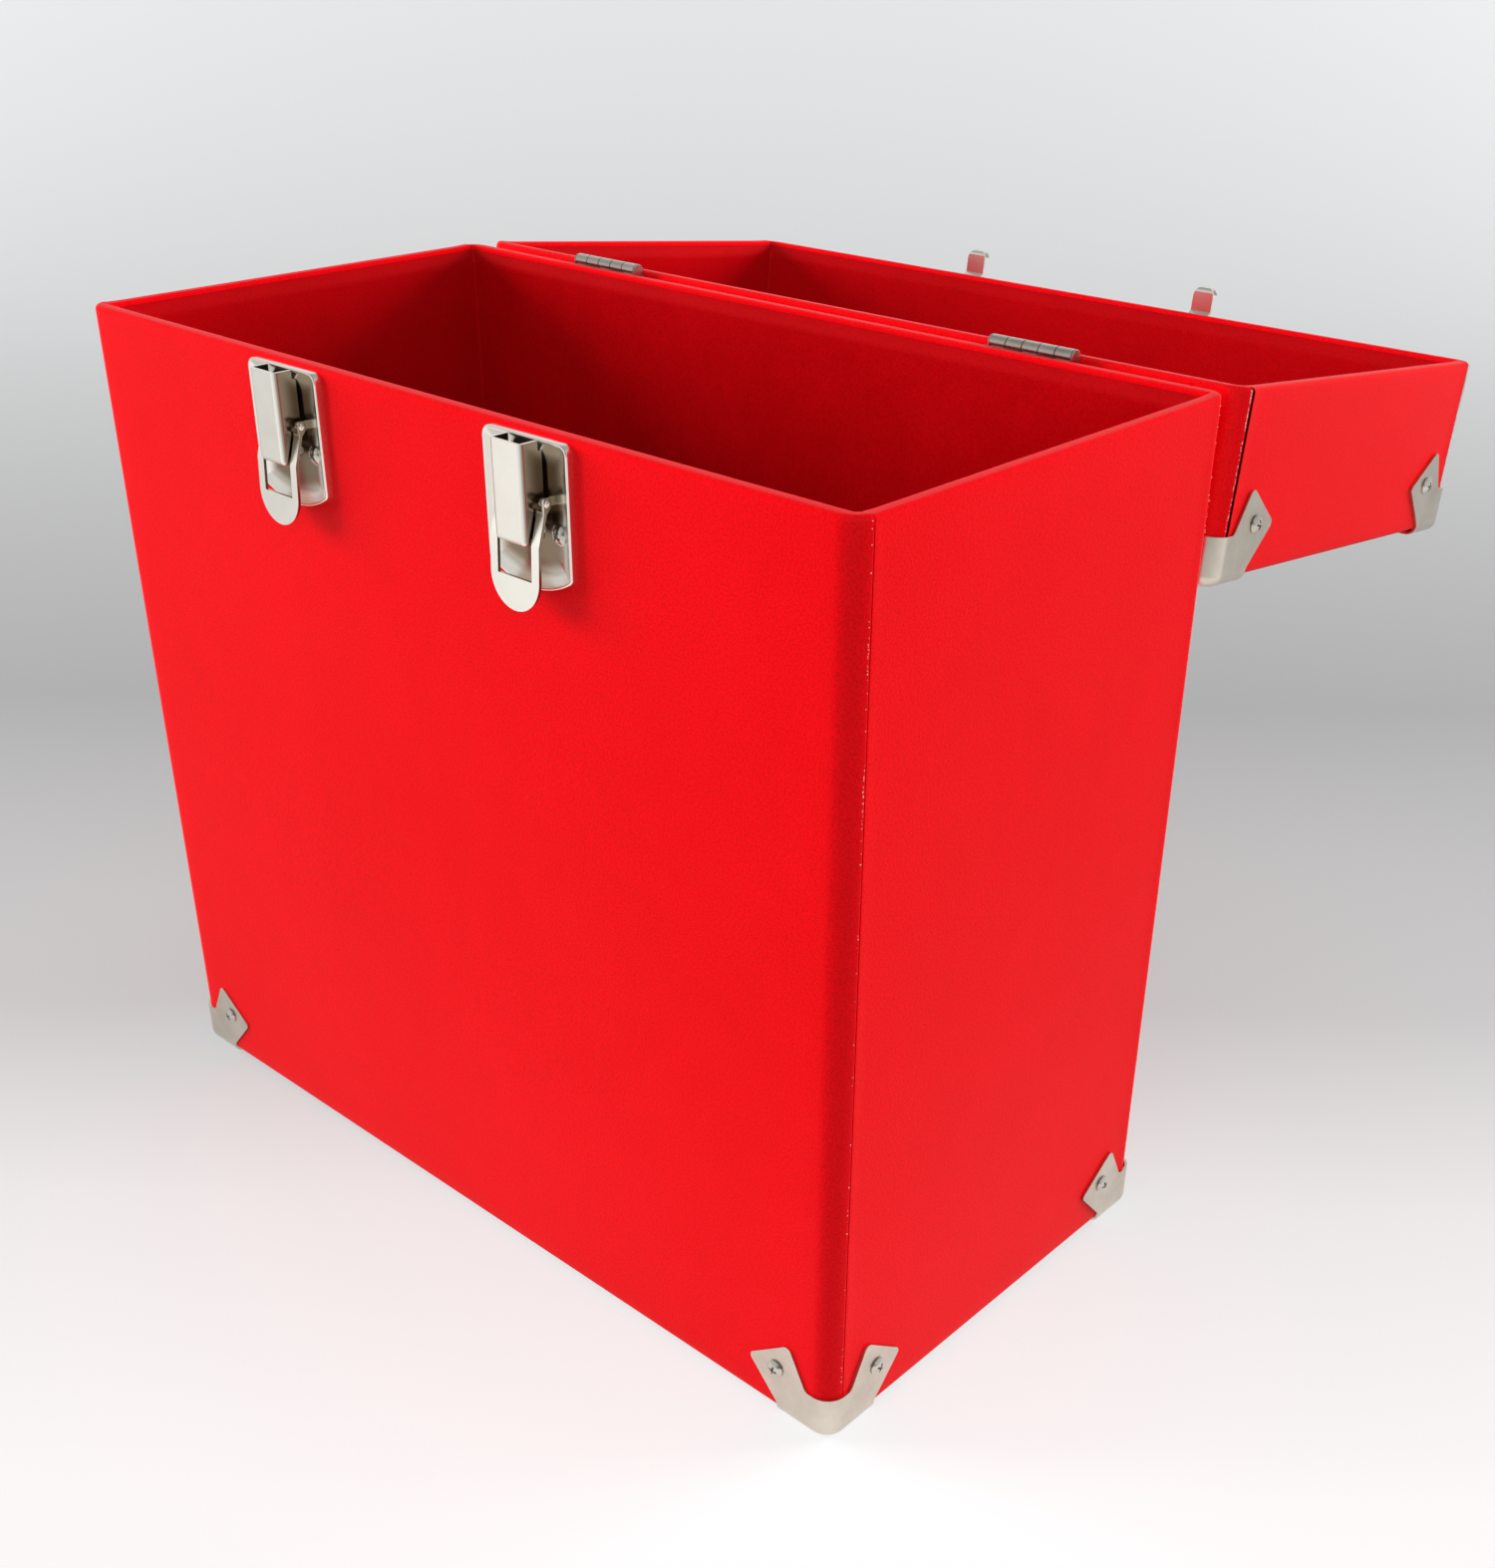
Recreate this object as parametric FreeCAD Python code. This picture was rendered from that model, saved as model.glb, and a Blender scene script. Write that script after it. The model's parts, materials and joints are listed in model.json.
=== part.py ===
import FreeCAD, Part
import math
import os

# Carrying case: a covered board box, a hinged lid that rests folded back, two draw
# latches, eight metal corners, two butt hinges and a handle on the lid.
# Millimetres, +Z up, the front faces -Y. The origin is the middle of the foot plane.
# The lid's pieces are built closed and then turned about the hinge line to the open rest.

Vector = FreeCAD.Vector
ALONG_X = Vector(1, 0, 0)
ALONG_Y = Vector(0, 1, 0)
ALONG_Z = Vector(0, 0, 1)

# Box and lid
case_width = 350.0
case_depth = 173.0
case_height = 300.0
lid_height = 60.0
rim_gap = 0.4
foot_drop = 2.0
upright_radius = 7.5
edge_radius = 2.0
cover_thickness = 0.5
board_thickness = 3.5
lining_thickness = 0.35
hem_depth = 12.0
seam_inset = 6.0

# Clearances
hole_clearance = 0.05
running_clearance = 0.05
side_clearance = 0.25
stop_clearance = 0.3
overrun = 5.0

# Sheet metal and screws
sheet_thickness = 1.0
screw_head_radius = 3.1
screw_head_height = 1.9
screw_head_crown = 1.3
screw_shank_radius = 1.3
screw_bite_share = 0.7
recess_width = 0.8
recess_length = 3.6
recess_depth = 1.0
sunk_head_radius = 2.6
sunk_head_height = 1.5

# Metal corners
corner_reach = 34.0
corner_bend_radius = 7.5
corner_edge_radius = 4.0
corner_tip_radius = 2.0
corner_screw_across = 22.0
corner_screw_up = 17.0
corner_screw_under = 21.0
corner_tip_near_share = (0.50, 0.86)
corner_tip_far_share = (1.0, 0.485)
corner_crotch_near_share = (0.28, 0.43)
corner_crotch_far_share = (0.63, 0.075)

# Latch plate, measured down from the rim and out from the front
latch_spacing = 114.0
plate_width = 35.4
plate_top = 1.0
plate_side = 39.7
plate_foot = 45.0
plate_rise = 3.0
plate_top_radius = 5.0
plate_bend_radius = 1.6
plate_screw_across = 11.5
plate_screw_down = 27.4

# Latch lever
lever_pivot_down = 18.0
lever_pivot_out = 4.2
lever_width = 20.7
lever_window_width = 14.4
lever_top = 16.3
lever_face_top = 20.2
lever_knee = 30.0
lever_window_foot = 40.3
lever_tab_centre = 39.8
lever_top_out = 5.5
lever_knee_out = 8.2
lever_tab_out = 9.3
lever_flange_depth = 2.7
lever_flange_foot = 21.0
lever_ear_height = 6.0
lever_swing = 100.0
ear_radius = 1.3
ear_thickness = 0.8
rivet_radius = 0.7
rivet_head_radius = 1.2
rivet_head_height = 0.5

# Latch claw
claw_width = 13.0
claw_wall = 0.9
claw_out = 9.8
claw_top = 1.4
claw_foot = 30.4
claw_back_out = 2.0
claw_neck_down = 4.2
claw_waist_down = 20.0
claw_hip_out = 3.2
claw_hip_down = 27.0
claw_heel_out = 6.8
claw_upright_radius = 1.6
claw_foot_radius = 1.6
claw_pivot_down = 25.5
claw_pivot_out = 4.5
claw_pin_radius = 0.8
claw_bar_radius = 0.8

# Hook on the lid, its end rounded across
hook_width = 9.0
hook_base_width = 14.0
hook_base_top = 19.0
hook_base_foot = 2.2
hook_stand = 3.4
hook_step_foot = 0.3
hook_cup_radius = 1.1
hook_cup_down = 7.7
hook_end_radius = 4.2
hook_lip = 0.8
hook_screw_across = 3.6
hook_screw_up = 12.5
hook_base_radius = 2.5

# Butt hinges
hinge_spacing = 200.0
hinge_width = 32.0
hinge_offset = 4.0
hinge_knuckle_radius = 2.5
hinge_pin_radius = 1.2
hinge_leaf_reach = 24.0
hinge_leaf_radius = 2.5
hinge_knuckles = 5
hinge_screw_across = 10.0
hinge_screw_reach = 15.5
hinge_screw_height = 0.7
hinge_screw_radius = 2.7
hinge_pin_head = 0.6

# Handle
handle_spacing = 112.0
handle_pivot_rise = 9.0
handle_rise = 30.0
handle_bend = 14.0
strap_width = 12.0
strap_thickness = 1.6
grip_width = 17.0
grip_height = 13.0
grip_leg_foot = 10.0
handle_swing = 76.0
bracket_length = 34.0
bracket_width = 15.0
bracket_radius = 4.0
bracket_lug_width = 11.0
bracket_lug_thickness = 1.6
bracket_screw_across = 11.0
handle_rivet_radius = 1.8
handle_rivet_head_radius = 3.0
handle_rivet_head_height = 1.2

# Places worked out from the sizes
near = hole_clearance / 10
rim_height = foot_drop + case_height
front = -case_depth / 2
back = case_depth / 2
lid_top = rim_height + rim_gap + lid_height
hinge_height = rim_height + rim_gap / 2
hinge_place = Vector(0, back + hinge_offset, hinge_height)
bay_width = case_width - 2 * (cover_thickness + board_thickness + lining_thickness)
bay_depth = case_depth - 2 * (cover_thickness + board_thickness + lining_thickness)
screw_bite = cover_thickness + board_thickness * screw_bite_share


# The lid leans on the case's back with its metal corners, past straight down
def lean_angle():
    drop = lid_height + rim_gap / 2 + foot_drop - corner_edge_radius
    inward = hinge_offset - sheet_thickness
    arm = math.hypot(inward, drop)
    start = math.atan2(drop, inward)
    return math.degrees(math.acos(-(hinge_offset - stop_clearance) / arm) - start)


lid_lean = lean_angle()
lid_open_angle = 180 + lid_lean


def box(low, high):
    size = high - low
    return Part.makeBox(size.x, size.y, size.z, low)


def straight(start, end):
    return Part.LineSegment(start, end).toShape()


def grouped(shapes):
    return Part.makeCompound(shapes)


def moved(shape, shift):
    copy = shape.copy()
    copy.translate(shift)
    return copy


def turned(shape, centre, axis, angle):
    copy = shape.copy()
    copy.rotate(centre, axis, angle)
    return copy


def mirrored(shape, axis):
    return shape.mirror(Vector(0, 0, 0), axis)


def opened(shape):
    return turned(shape, hinge_place, ALONG_X, -lid_open_angle)


# Stands a shape that was made along +Z at a place, pointing along a direction
def stood(shape, place, direction):
    copy = shape.copy()
    turn = FreeCAD.Rotation(ALONG_Z, direction)
    copy.Placement = FreeCAD.Placement(place, turn).multiply(copy.Placement)
    return copy


# Flat outline with rounded corners, each corner given as across, up and radius
def rounded_face(corners, origin, across, up):
    spots = [origin + across * corner[0] + up * corner[1] for corner in corners]
    joins = []
    for index, spot in enumerate(spots):
        before = (spots[index - 1] - spot).normalize()
        after = (spots[(index + 1) % len(spots)] - spot).normalize()
        half = before.getAngle(after) / 2
        radius = corners[index][2]
        inward = (before + after).normalize()
        run = radius / math.tan(half)
        middle = spot + inward * (radius / math.sin(half) - radius)
        joins.append((spot + before * run, middle, spot + after * run, radius))
    edges = []
    for index, join in enumerate(joins):
        last = joins[index - 1][2]
        if last.distanceToPoint(join[0]) > near:
            edges.append(straight(last, join[0]))
        if join[3] > 0:
            edges.append(Part.Arc(join[0], join[1], join[2]).toShape())
    return Part.Face(Part.Wire(edges))


def upright_edges(shape):
    chosen = []
    for edge in shape.Edges:
        reach = edge.BoundBox
        if reach.ZLength > near and reach.XLength < near and reach.YLength < near:
            chosen.append(edge)
    return chosen


# Block with rounded upright edges and a rounded lower end
def rounded_block(width, depth, low, high, side_radius, end_radius):
    shape = box(Vector(-width / 2, -depth / 2, low), Vector(width / 2, depth / 2, high))
    shape = shape.makeFillet(side_radius, upright_edges(shape))
    ends = [edge for edge in shape.Edges if edge.BoundBox.ZMax < low + near]
    return shape.makeFillet(end_radius, ends)


def centred_box(width, depth, low, high):
    return box(Vector(-width / 2, -depth / 2, low), Vector(width / 2, depth / 2, high))


# Screw with a domed cross head, its seat at z = 0
def pan_screw(seat):
    rim = screw_head_height - screw_head_crown
    foot = -(seat + screw_bite)
    crown = (screw_head_radius ** 2 + screw_head_crown ** 2) / (2 * screw_head_crown)
    ball = Part.makeSphere(crown, Vector(0, 0, screw_head_height - crown))
    head = Part.makeCylinder(screw_head_radius, screw_head_height + crown, Vector(0, 0, 0))
    head = head.common(ball)
    drum = Part.makeCylinder(screw_head_radius, rim, Vector(0, 0, 0))
    shank = Part.makeCylinder(screw_shank_radius, -foot, Vector(0, 0, foot))
    return head.fuse([drum, shank]).cut(cross_recess(screw_head_height)).removeSplitter()


# Countersunk screw with its flat top at z = 0
def sunk_screw(seat):
    head = Part.makeCone(screw_shank_radius, sunk_head_radius, sunk_head_height,
                         Vector(0, 0, -sunk_head_height))
    foot = seat + screw_bite
    shank = Part.makeCylinder(screw_shank_radius, foot, Vector(0, 0, -foot))
    return head.fuse(shank).cut(cross_recess(0)).removeSplitter()


def cross_recess(top):
    half = recess_length / 2
    thin = recess_width / 2
    first = box(Vector(-half, -thin, top - recess_depth), Vector(half, thin, top + overrun))
    return first.fuse(turned(first, Vector(0, 0, 0), ALONG_Z, 90))


# Thin round-headed screw for the hinge leaves
def leaf_screw():
    head = Part.makeCylinder(hinge_screw_radius, hinge_screw_height)
    rim = [edge for edge in head.Edges if edge.BoundBox.ZMin > hinge_screw_height - near]
    head = head.makeFillet(hinge_screw_height / 2, rim)
    foot = sheet_thickness + screw_bite
    shank = Part.makeCylinder(screw_shank_radius, foot, Vector(0, 0, -foot))
    recess = cross_recess(hinge_screw_height + recess_depth / 2)
    return head.fuse(shank).cut(recess).removeSplitter()


# Hole for a screw's shank, from outside the metal down into the board
def pilot(place, direction):
    reach = overrun + foot_drop
    hole = Part.makeCylinder(screw_shank_radius + hole_clearance, reach + screw_bite + hole_clearance)
    return stood(moved(hole, Vector(0, 0, -screw_bite - hole_clearance)), place, direction)


# One half of the box as an open tray: rim at z = 0, closed end at z = -height
def tray(height, pilots):
    wall = cover_thickness + board_thickness
    board_width = case_width - 2 * cover_thickness
    board_depth = case_depth - 2 * cover_thickness
    inner_width = case_width - 2 * wall
    inner_depth = case_depth - 2 * wall
    end = -height + cover_thickness
    floor = end + board_thickness
    outer = rounded_block(case_width, case_depth, -height, 0, upright_radius, edge_radius)
    core = rounded_block(board_width, board_depth, end, -cover_thickness,
                         upright_radius - cover_thickness, edge_radius - cover_thickness)
    hollow = centred_box(inner_width, inner_depth, end, overrun)
    bay = centred_box(bay_width, bay_depth, floor + lining_thickness, overrun)
    walls = core.cut(hollow)
    hem = centred_box(inner_width, inner_depth, -hem_depth, -cover_thickness)
    skin = outer.cut(core).fuse(hem).cut(bay).removeSplitter()
    lining = centred_box(inner_width, inner_depth, floor, -hem_depth).cut(bay)
    holes = grouped(pilots)
    boards = split_by_side(walls, wall)
    boards["end"] = centred_box(inner_width, inner_depth, end, floor)
    covers = split_by_side(skin, seam_inset)
    covers["end"] = skin.common(centred_box(case_width - 2 * seam_inset,
                                            case_depth - 2 * seam_inset, -height, end))
    for side in boards:
        boards[side] = boards[side].cut(holes)
        covers[side] = covers[side].cut(holes)
    return boards, covers, lining


# Parts a ring of wall into its front, back, left and right pieces
def split_by_side(ring, inset):
    reach = ring.BoundBox
    low = Vector(reach.XMin - overrun, reach.YMin - overrun, reach.ZMin - overrun)
    high = Vector(reach.XMax + overrun, reach.YMax + overrun, reach.ZMax + overrun)
    near_side = -case_depth / 2 + inset
    far_side = case_depth / 2 - inset
    left_side = -case_width / 2 + inset
    right_side = case_width / 2 - inset
    pieces = {}
    pieces["front"] = ring.common(box(low, Vector(high.x, near_side, high.z)))
    pieces["back"] = ring.common(box(Vector(low.x, far_side, low.z), high))
    pieces["left"] = ring.common(box(Vector(low.x, near_side, low.z),
                                     Vector(left_side, far_side, high.z)))
    pieces["right"] = ring.common(box(Vector(right_side, near_side, low.z),
                                      Vector(high.x, far_side, high.z)))
    return pieces


# Metal corner for the box corner at the origin, the box lying on the positive sides
def metal_corner():
    reach = corner_reach + overrun
    sheet = sheet_thickness
    outer = corner_block(Vector(-sheet, -sheet, -foot_drop), reach,
                         corner_bend_radius, corner_edge_radius)
    inner = corner_block(Vector(0, 0, sheet - foot_drop), reach + overrun,
                         corner_bend_radius - sheet, corner_edge_radius - sheet)
    shell = outer.cut(inner)
    leg_front = corner_leg(ALONG_X, ALONG_Z, ALONG_Y)
    leg_side = corner_leg(ALONG_Y, ALONG_Z, ALONG_X)
    leg_under = corner_leg(ALONG_X, ALONG_Y, ALONG_Z)
    piece = shell.common(leg_front.fuse([leg_side, leg_under]))
    holes = []
    for place, direction in corner_screw_places()[:2]:
        holes.append(pilot(place, direction))
    under, down = corner_screw_places()[2]
    sink = Part.makeCone(screw_shank_radius + hole_clearance, sunk_head_radius + hole_clearance,
                         sunk_head_height, Vector(0, 0, -sunk_head_height))
    holes.append(stood(sink, under, down))
    holes.append(pilot(under, down))
    return piece.cut(grouped(holes))


def corner_block(low, reach, bend_radius, end_radius):
    shape = box(low, Vector(reach, reach, reach))
    bend = []
    for edge in upright_edges(shape):
        if edge.BoundBox.XMax < low.x + near and edge.BoundBox.YMax < low.y + near:
            bend.append(edge)
    shape = shape.makeFillet(bend_radius, bend)
    ends = []
    for edge in shape.Edges:
        seen = edge.BoundBox
        flat = seen.ZMax < low.z + near
        outside = seen.XMin < low.x + bend_radius - near or seen.YMin < low.y + bend_radius - near
        inside = seen.XMin > reach - near or seen.YMin > reach - near
        if flat and outside and not inside:
            ends.append(edge)
    return shape.makeFillet(end_radius, ends)


# Outline of one leg, pushed through the sheet along the face's own direction
def corner_leg(across, up, through):
    reach = corner_reach
    spare = -2 * foot_drop
    near_crotch = corner_crotch_near_share[1] * reach
    far_crotch = corner_crotch_far_share[0] * reach
    corners = [
        (spare, spare, 0),
        (far_crotch, spare, 0),
        (far_crotch, corner_crotch_far_share[1] * reach, corner_tip_radius),
        (corner_tip_far_share[0] * reach, corner_tip_far_share[1] * reach, corner_tip_radius),
        (corner_tip_near_share[0] * reach, corner_tip_near_share[1] * reach, corner_tip_radius),
        (corner_crotch_near_share[0] * reach, near_crotch, corner_tip_radius),
        (spare, near_crotch, 0),
    ]
    face = rounded_face(corners, through * spare, across, up)
    return face.extrude(through * (corner_bend_radius - spare))


# Screw seats of a metal corner: place on the box's face and the direction out of it
def corner_screw_places():
    front_seat = Vector(corner_screw_across, 0, corner_screw_up)
    side_seat = Vector(0, corner_screw_across, corner_screw_up)
    under_seat = Vector(corner_screw_under, corner_screw_under, -foot_drop)
    return [(front_seat, -ALONG_Y), (side_seat, -ALONG_X), (under_seat, -ALONG_Z)]


# The four corners of a tray with its closed end at z = -height, and the screws in them
def corner_set(height):
    corner = metal_corner()
    screws = []
    side_screw = pan_screw(sheet_thickness)
    flat_screw = sunk_screw(foot_drop)
    for place, direction in corner_screw_places()[:2]:
        screws.append(stood(side_screw, place - direction * -sheet_thickness, direction))
    under, down = corner_screw_places()[2]
    screws.append(stood(flat_screw, under, down))
    pilots = []
    for place, direction in corner_screw_places():
        seat = Vector(place.x, place.y, max(place.z, 0))
        pilots.append(pilot(seat, direction))
    shift = Vector(-case_width / 2, -case_depth / 2, -height)
    corner = moved(corner, shift)
    screws = moved(grouped(screws), shift)
    pilots = moved(grouped(pilots), shift)
    corners = {}
    all_screws = []
    all_pilots = []
    for name, flips in corner_flips.items():
        piece, held, bored = corner, screws, pilots
        for axis in flips:
            piece = mirrored(piece, axis)
            held = mirrored(held, axis)
            bored = mirrored(bored, axis)
        corners[name] = piece
        all_screws += held.Solids
        all_pilots += bored.Solids
    return corners, all_screws, all_pilots


corner_flips = {
    "front_left": [],
    "front_right": [ALONG_X],
    "back_left": [ALONG_Y],
    "back_right": [ALONG_X, ALONG_Y],
}


# Latch pieces are built at x = 0 with the front face at y = 0 and the rim at z = 0
def latch_plate():
    pan = plate_blank(0, plate_rise)
    pocket = plate_blank(sheet_thickness, plate_rise + overrun)
    pocket = moved(pocket, Vector(0, -sheet_thickness, 0))
    bend = [edge for edge in pocket.Edges if edge.BoundBox.YMin > -sheet_thickness - near]
    pocket = pocket.makeFillet(plate_bend_radius, bend)
    plate = pan.cut(pocket)
    ears = []
    for side in (-1, 1):
        ears.append(pivot_ear(side))
    plate = plate.fuse(ears).removeSplitter()
    bore = Part.makeCylinder(rivet_radius + hole_clearance, lever_width,
                             Vector(-lever_width / 2, -lever_pivot_out, -lever_pivot_down), ALONG_X)
    holes = [bore]
    for place, direction in plate_screw_places():
        holes.append(pilot(place, direction))
    return plate.cut(grouped(holes))


def plate_blank(inset, rise):
    half = plate_width / 2 - inset
    sag = plate_foot - plate_side
    sweep = ((plate_width / 2) ** 2 + sag ** 2) / (2 * sag)
    corners = [
        (-half, -plate_foot - overrun, 0),
        (half, -plate_foot - overrun, 0),
        (half, -plate_top - inset, plate_top_radius - inset),
        (-half, -plate_top - inset, plate_top_radius - inset),
    ]
    blank = rounded_face(corners, Vector(0, 0, 0), ALONG_X, ALONG_Z).extrude(-ALONG_Y * rise)
    curve = Part.makeCylinder(sweep - inset, rise, Vector(0, 0, sweep - plate_foot), -ALONG_Y)
    return blank.common(curve)


def pivot_ear(side):
    outer = lever_width / 2 - sheet_thickness - side_clearance
    inner = outer - ear_thickness
    low = Vector(min(side * inner, side * outer), -lever_pivot_out, -lever_pivot_down - ear_radius)
    high = Vector(max(side * inner, side * outer), -sheet_thickness / 2, -lever_pivot_down + ear_radius)
    end = Part.makeCylinder(ear_radius, ear_thickness,
                            Vector(low.x, -lever_pivot_out, -lever_pivot_down), ALONG_X)
    return box(low, high).fuse(end)


def plate_screw_places():
    places = []
    for side in (-1, 1):
        places.append((Vector(side * plate_screw_across, 0, -plate_screw_down), -ALONG_Y))
    return places


# Side view of the lever's sheet, front line then back line
def lever_sheet():
    fronts = [
        (lever_top_out, lever_face_top),
        (lever_top_out, lever_flange_foot),
        (lever_knee_out, lever_knee),
        (lever_tab_out, lever_tab_centre + lever_width / 2),
    ]
    corners = [(-out, -down, 0) for out, down in fronts]
    corners += [(sheet_thickness - out, -down, 0) for out, down in reversed(fronts)]
    start = Vector(-lever_width / 2, 0, 0)
    sheet = rounded_face(corners, start, ALONG_Y, ALONG_Z).extrude(ALONG_X * lever_width)
    half = lever_width / 2
    blank = box(Vector(-half, -claw_out - overrun, -lever_tab_centre), Vector(half, 0, 0))
    tab = Part.makeCylinder(half, claw_out + overrun, Vector(0, 0, -lever_tab_centre), -ALONG_Y)
    return sheet.common(blank.fuse(tab))


def lever():
    piece = lever_sheet()
    half = lever_window_width / 2
    window = box(Vector(-half, -claw_out - overrun, -lever_window_foot), Vector(half, 0, 0))
    piece = piece.cut(window)
    parts = []
    for side in (-1, 1):
        parts.append(lever_flange(side))
        parts.append(lever_ear(side))
    piece = piece.fuse(parts).removeSplitter()
    start = -lever_width
    pivot = Part.makeCylinder(rivet_radius + running_clearance, 2 * lever_width,
                              Vector(start, -lever_pivot_out, -lever_pivot_down), ALONG_X)
    pin = Part.makeCylinder(claw_pin_radius + hole_clearance, 2 * lever_width,
                            Vector(start, -claw_pivot_out, -claw_pivot_down), ALONG_X)
    return piece.cut(grouped([pivot, pin]))


# Side flange with the pivot hole, bent back from the outer edge of each arm
def lever_flange(side):
    outer = lever_width / 2
    corners = [
        (-lever_top_out, -lever_top, ear_thickness),
        (-lever_top_out, -lever_flange_foot, 0),
        (sheet_thickness - lever_top_out, -lever_flange_foot, 0),
        (lever_flange_depth - lever_top_out, -lever_pivot_down - rivet_head_radius, ear_thickness),
        (lever_flange_depth - lever_top_out, -lever_top, ear_thickness),
    ]
    start = Vector(min(side * outer, side * (outer - sheet_thickness)), 0, 0)
    return rounded_face(corners, start, ALONG_Y, ALONG_Z).extrude(ALONG_X * sheet_thickness)


# Inner ear that carries the claw's pin, bent back from the window's edge
def lever_ear(side):
    inner = lever_window_width / 2
    back_line = -(claw_pivot_out - claw_pin_radius - side_clearance)
    half = lever_ear_height / 2
    slope = (lever_knee_out - lever_top_out) / (lever_knee - lever_flange_foot)
    high_out = lever_top_out + slope * (claw_pivot_down - half - lever_flange_foot)
    low_out = lever_top_out + slope * (claw_pivot_down + half - lever_flange_foot)
    corners = [
        (-high_out, -claw_pivot_down + half, 0),
        (-low_out, -claw_pivot_down - half, 0),
        (back_line, -claw_pivot_down - half, ear_thickness),
        (back_line, -claw_pivot_down + half, ear_thickness),
    ]
    start = Vector(min(side * inner, side * (inner + ear_thickness)), 0, 0)
    return rounded_face(corners, start, ALONG_Y, ALONG_Z).extrude(ALONG_X * ear_thickness)


# Two short rivets that hang the lever on the plate's ears
def lever_rivets():
    outer = lever_width / 2
    inner = outer - sheet_thickness - side_clearance - ear_thickness
    start = inner - hole_clearance
    rivets = []
    for side in (-1, 1):
        place = Vector(side * start, -lever_pivot_out, -lever_pivot_down)
        length = outer + hole_clearance - start
        shank = Part.makeCylinder(rivet_radius, length, place, ALONG_X * side)
        inner_head = Part.makeCylinder(rivet_head_radius, rivet_head_height, place, ALONG_X * -side)
        far = place + ALONG_X * (side * length)
        outer_head = Part.makeCylinder(rivet_head_radius, rivet_head_height, far, ALONG_X * side)
        rivets.append(shank.fuse([inner_head, outer_head]).removeSplitter())
    return rivets


def claw_side_view(corners):
    half = claw_width / 2
    face = rounded_face(corners, Vector(-half, 0, 0), ALONG_Y, ALONG_Z)
    return face.extrude(ALONG_X * claw_width)


# Channel that stands between the lever's arms and draws the lid's hook down
def claw():
    outer = claw_side_view([
        (-claw_out, -claw_top, 0),
        (-claw_out, -claw_foot, claw_foot_radius),
        (-claw_heel_out, -claw_foot, 0),
        (-claw_hip_out, -claw_hip_down, 0),
        (-claw_back_out, -claw_waist_down, 0),
        (-claw_back_out, -claw_neck_down, 0),
        (-plate_rise - stop_clearance, -claw_neck_down, 0),
        (-plate_rise - stop_clearance, -claw_top, 0),
    ])
    bends = []
    for edge in upright_edges(outer):
        if edge.BoundBox.YMax < -claw_out + near:
            bends.append(edge)
    outer = outer.makeFillet(claw_upright_radius, bends)
    inner_half = claw_width / 2 - claw_wall
    hollow_corners = [
        (-claw_out + claw_wall, overrun, 0),
        (-claw_out + claw_wall, -claw_foot + claw_wall, claw_foot_radius - claw_wall),
        (overrun, -claw_foot + claw_wall, 0),
        (overrun, overrun, 0),
    ]
    start = Vector(-inner_half, 0, 0)
    hollow = rounded_face(hollow_corners, start, ALONG_Y, ALONG_Z).extrude(ALONG_X * (2 * inner_half))
    bar = Part.makeCylinder(claw_bar_radius, claw_width - claw_wall,
                            Vector(-(claw_width - claw_wall) / 2, -hook_cup_out(), -hook_cup_down), ALONG_X)
    bore = Part.makeCylinder(claw_pin_radius + running_clearance, 2 * claw_width,
                             Vector(-claw_width, -claw_pivot_out, -claw_pivot_down), ALONG_X)
    return outer.cut(hollow).fuse(bar).cut(bore).removeSplitter()


def claw_pin():
    half = lever_window_width / 2 + ear_thickness + hole_clearance
    place = Vector(-half, -claw_pivot_out, -claw_pivot_down)
    shank = Part.makeCylinder(claw_pin_radius, 2 * half, place, ALONG_X)
    heads = []
    for side in (-1, 1):
        seat = Vector(side * half, -claw_pivot_out, -claw_pivot_down)
        heads.append(Part.makeCylinder(rivet_head_radius, rivet_head_height, seat, ALONG_X * side))
    return shank.fuse(heads).removeSplitter()


def hook_cup_out():
    return hook_stand + sheet_thickness + hook_cup_radius


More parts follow.
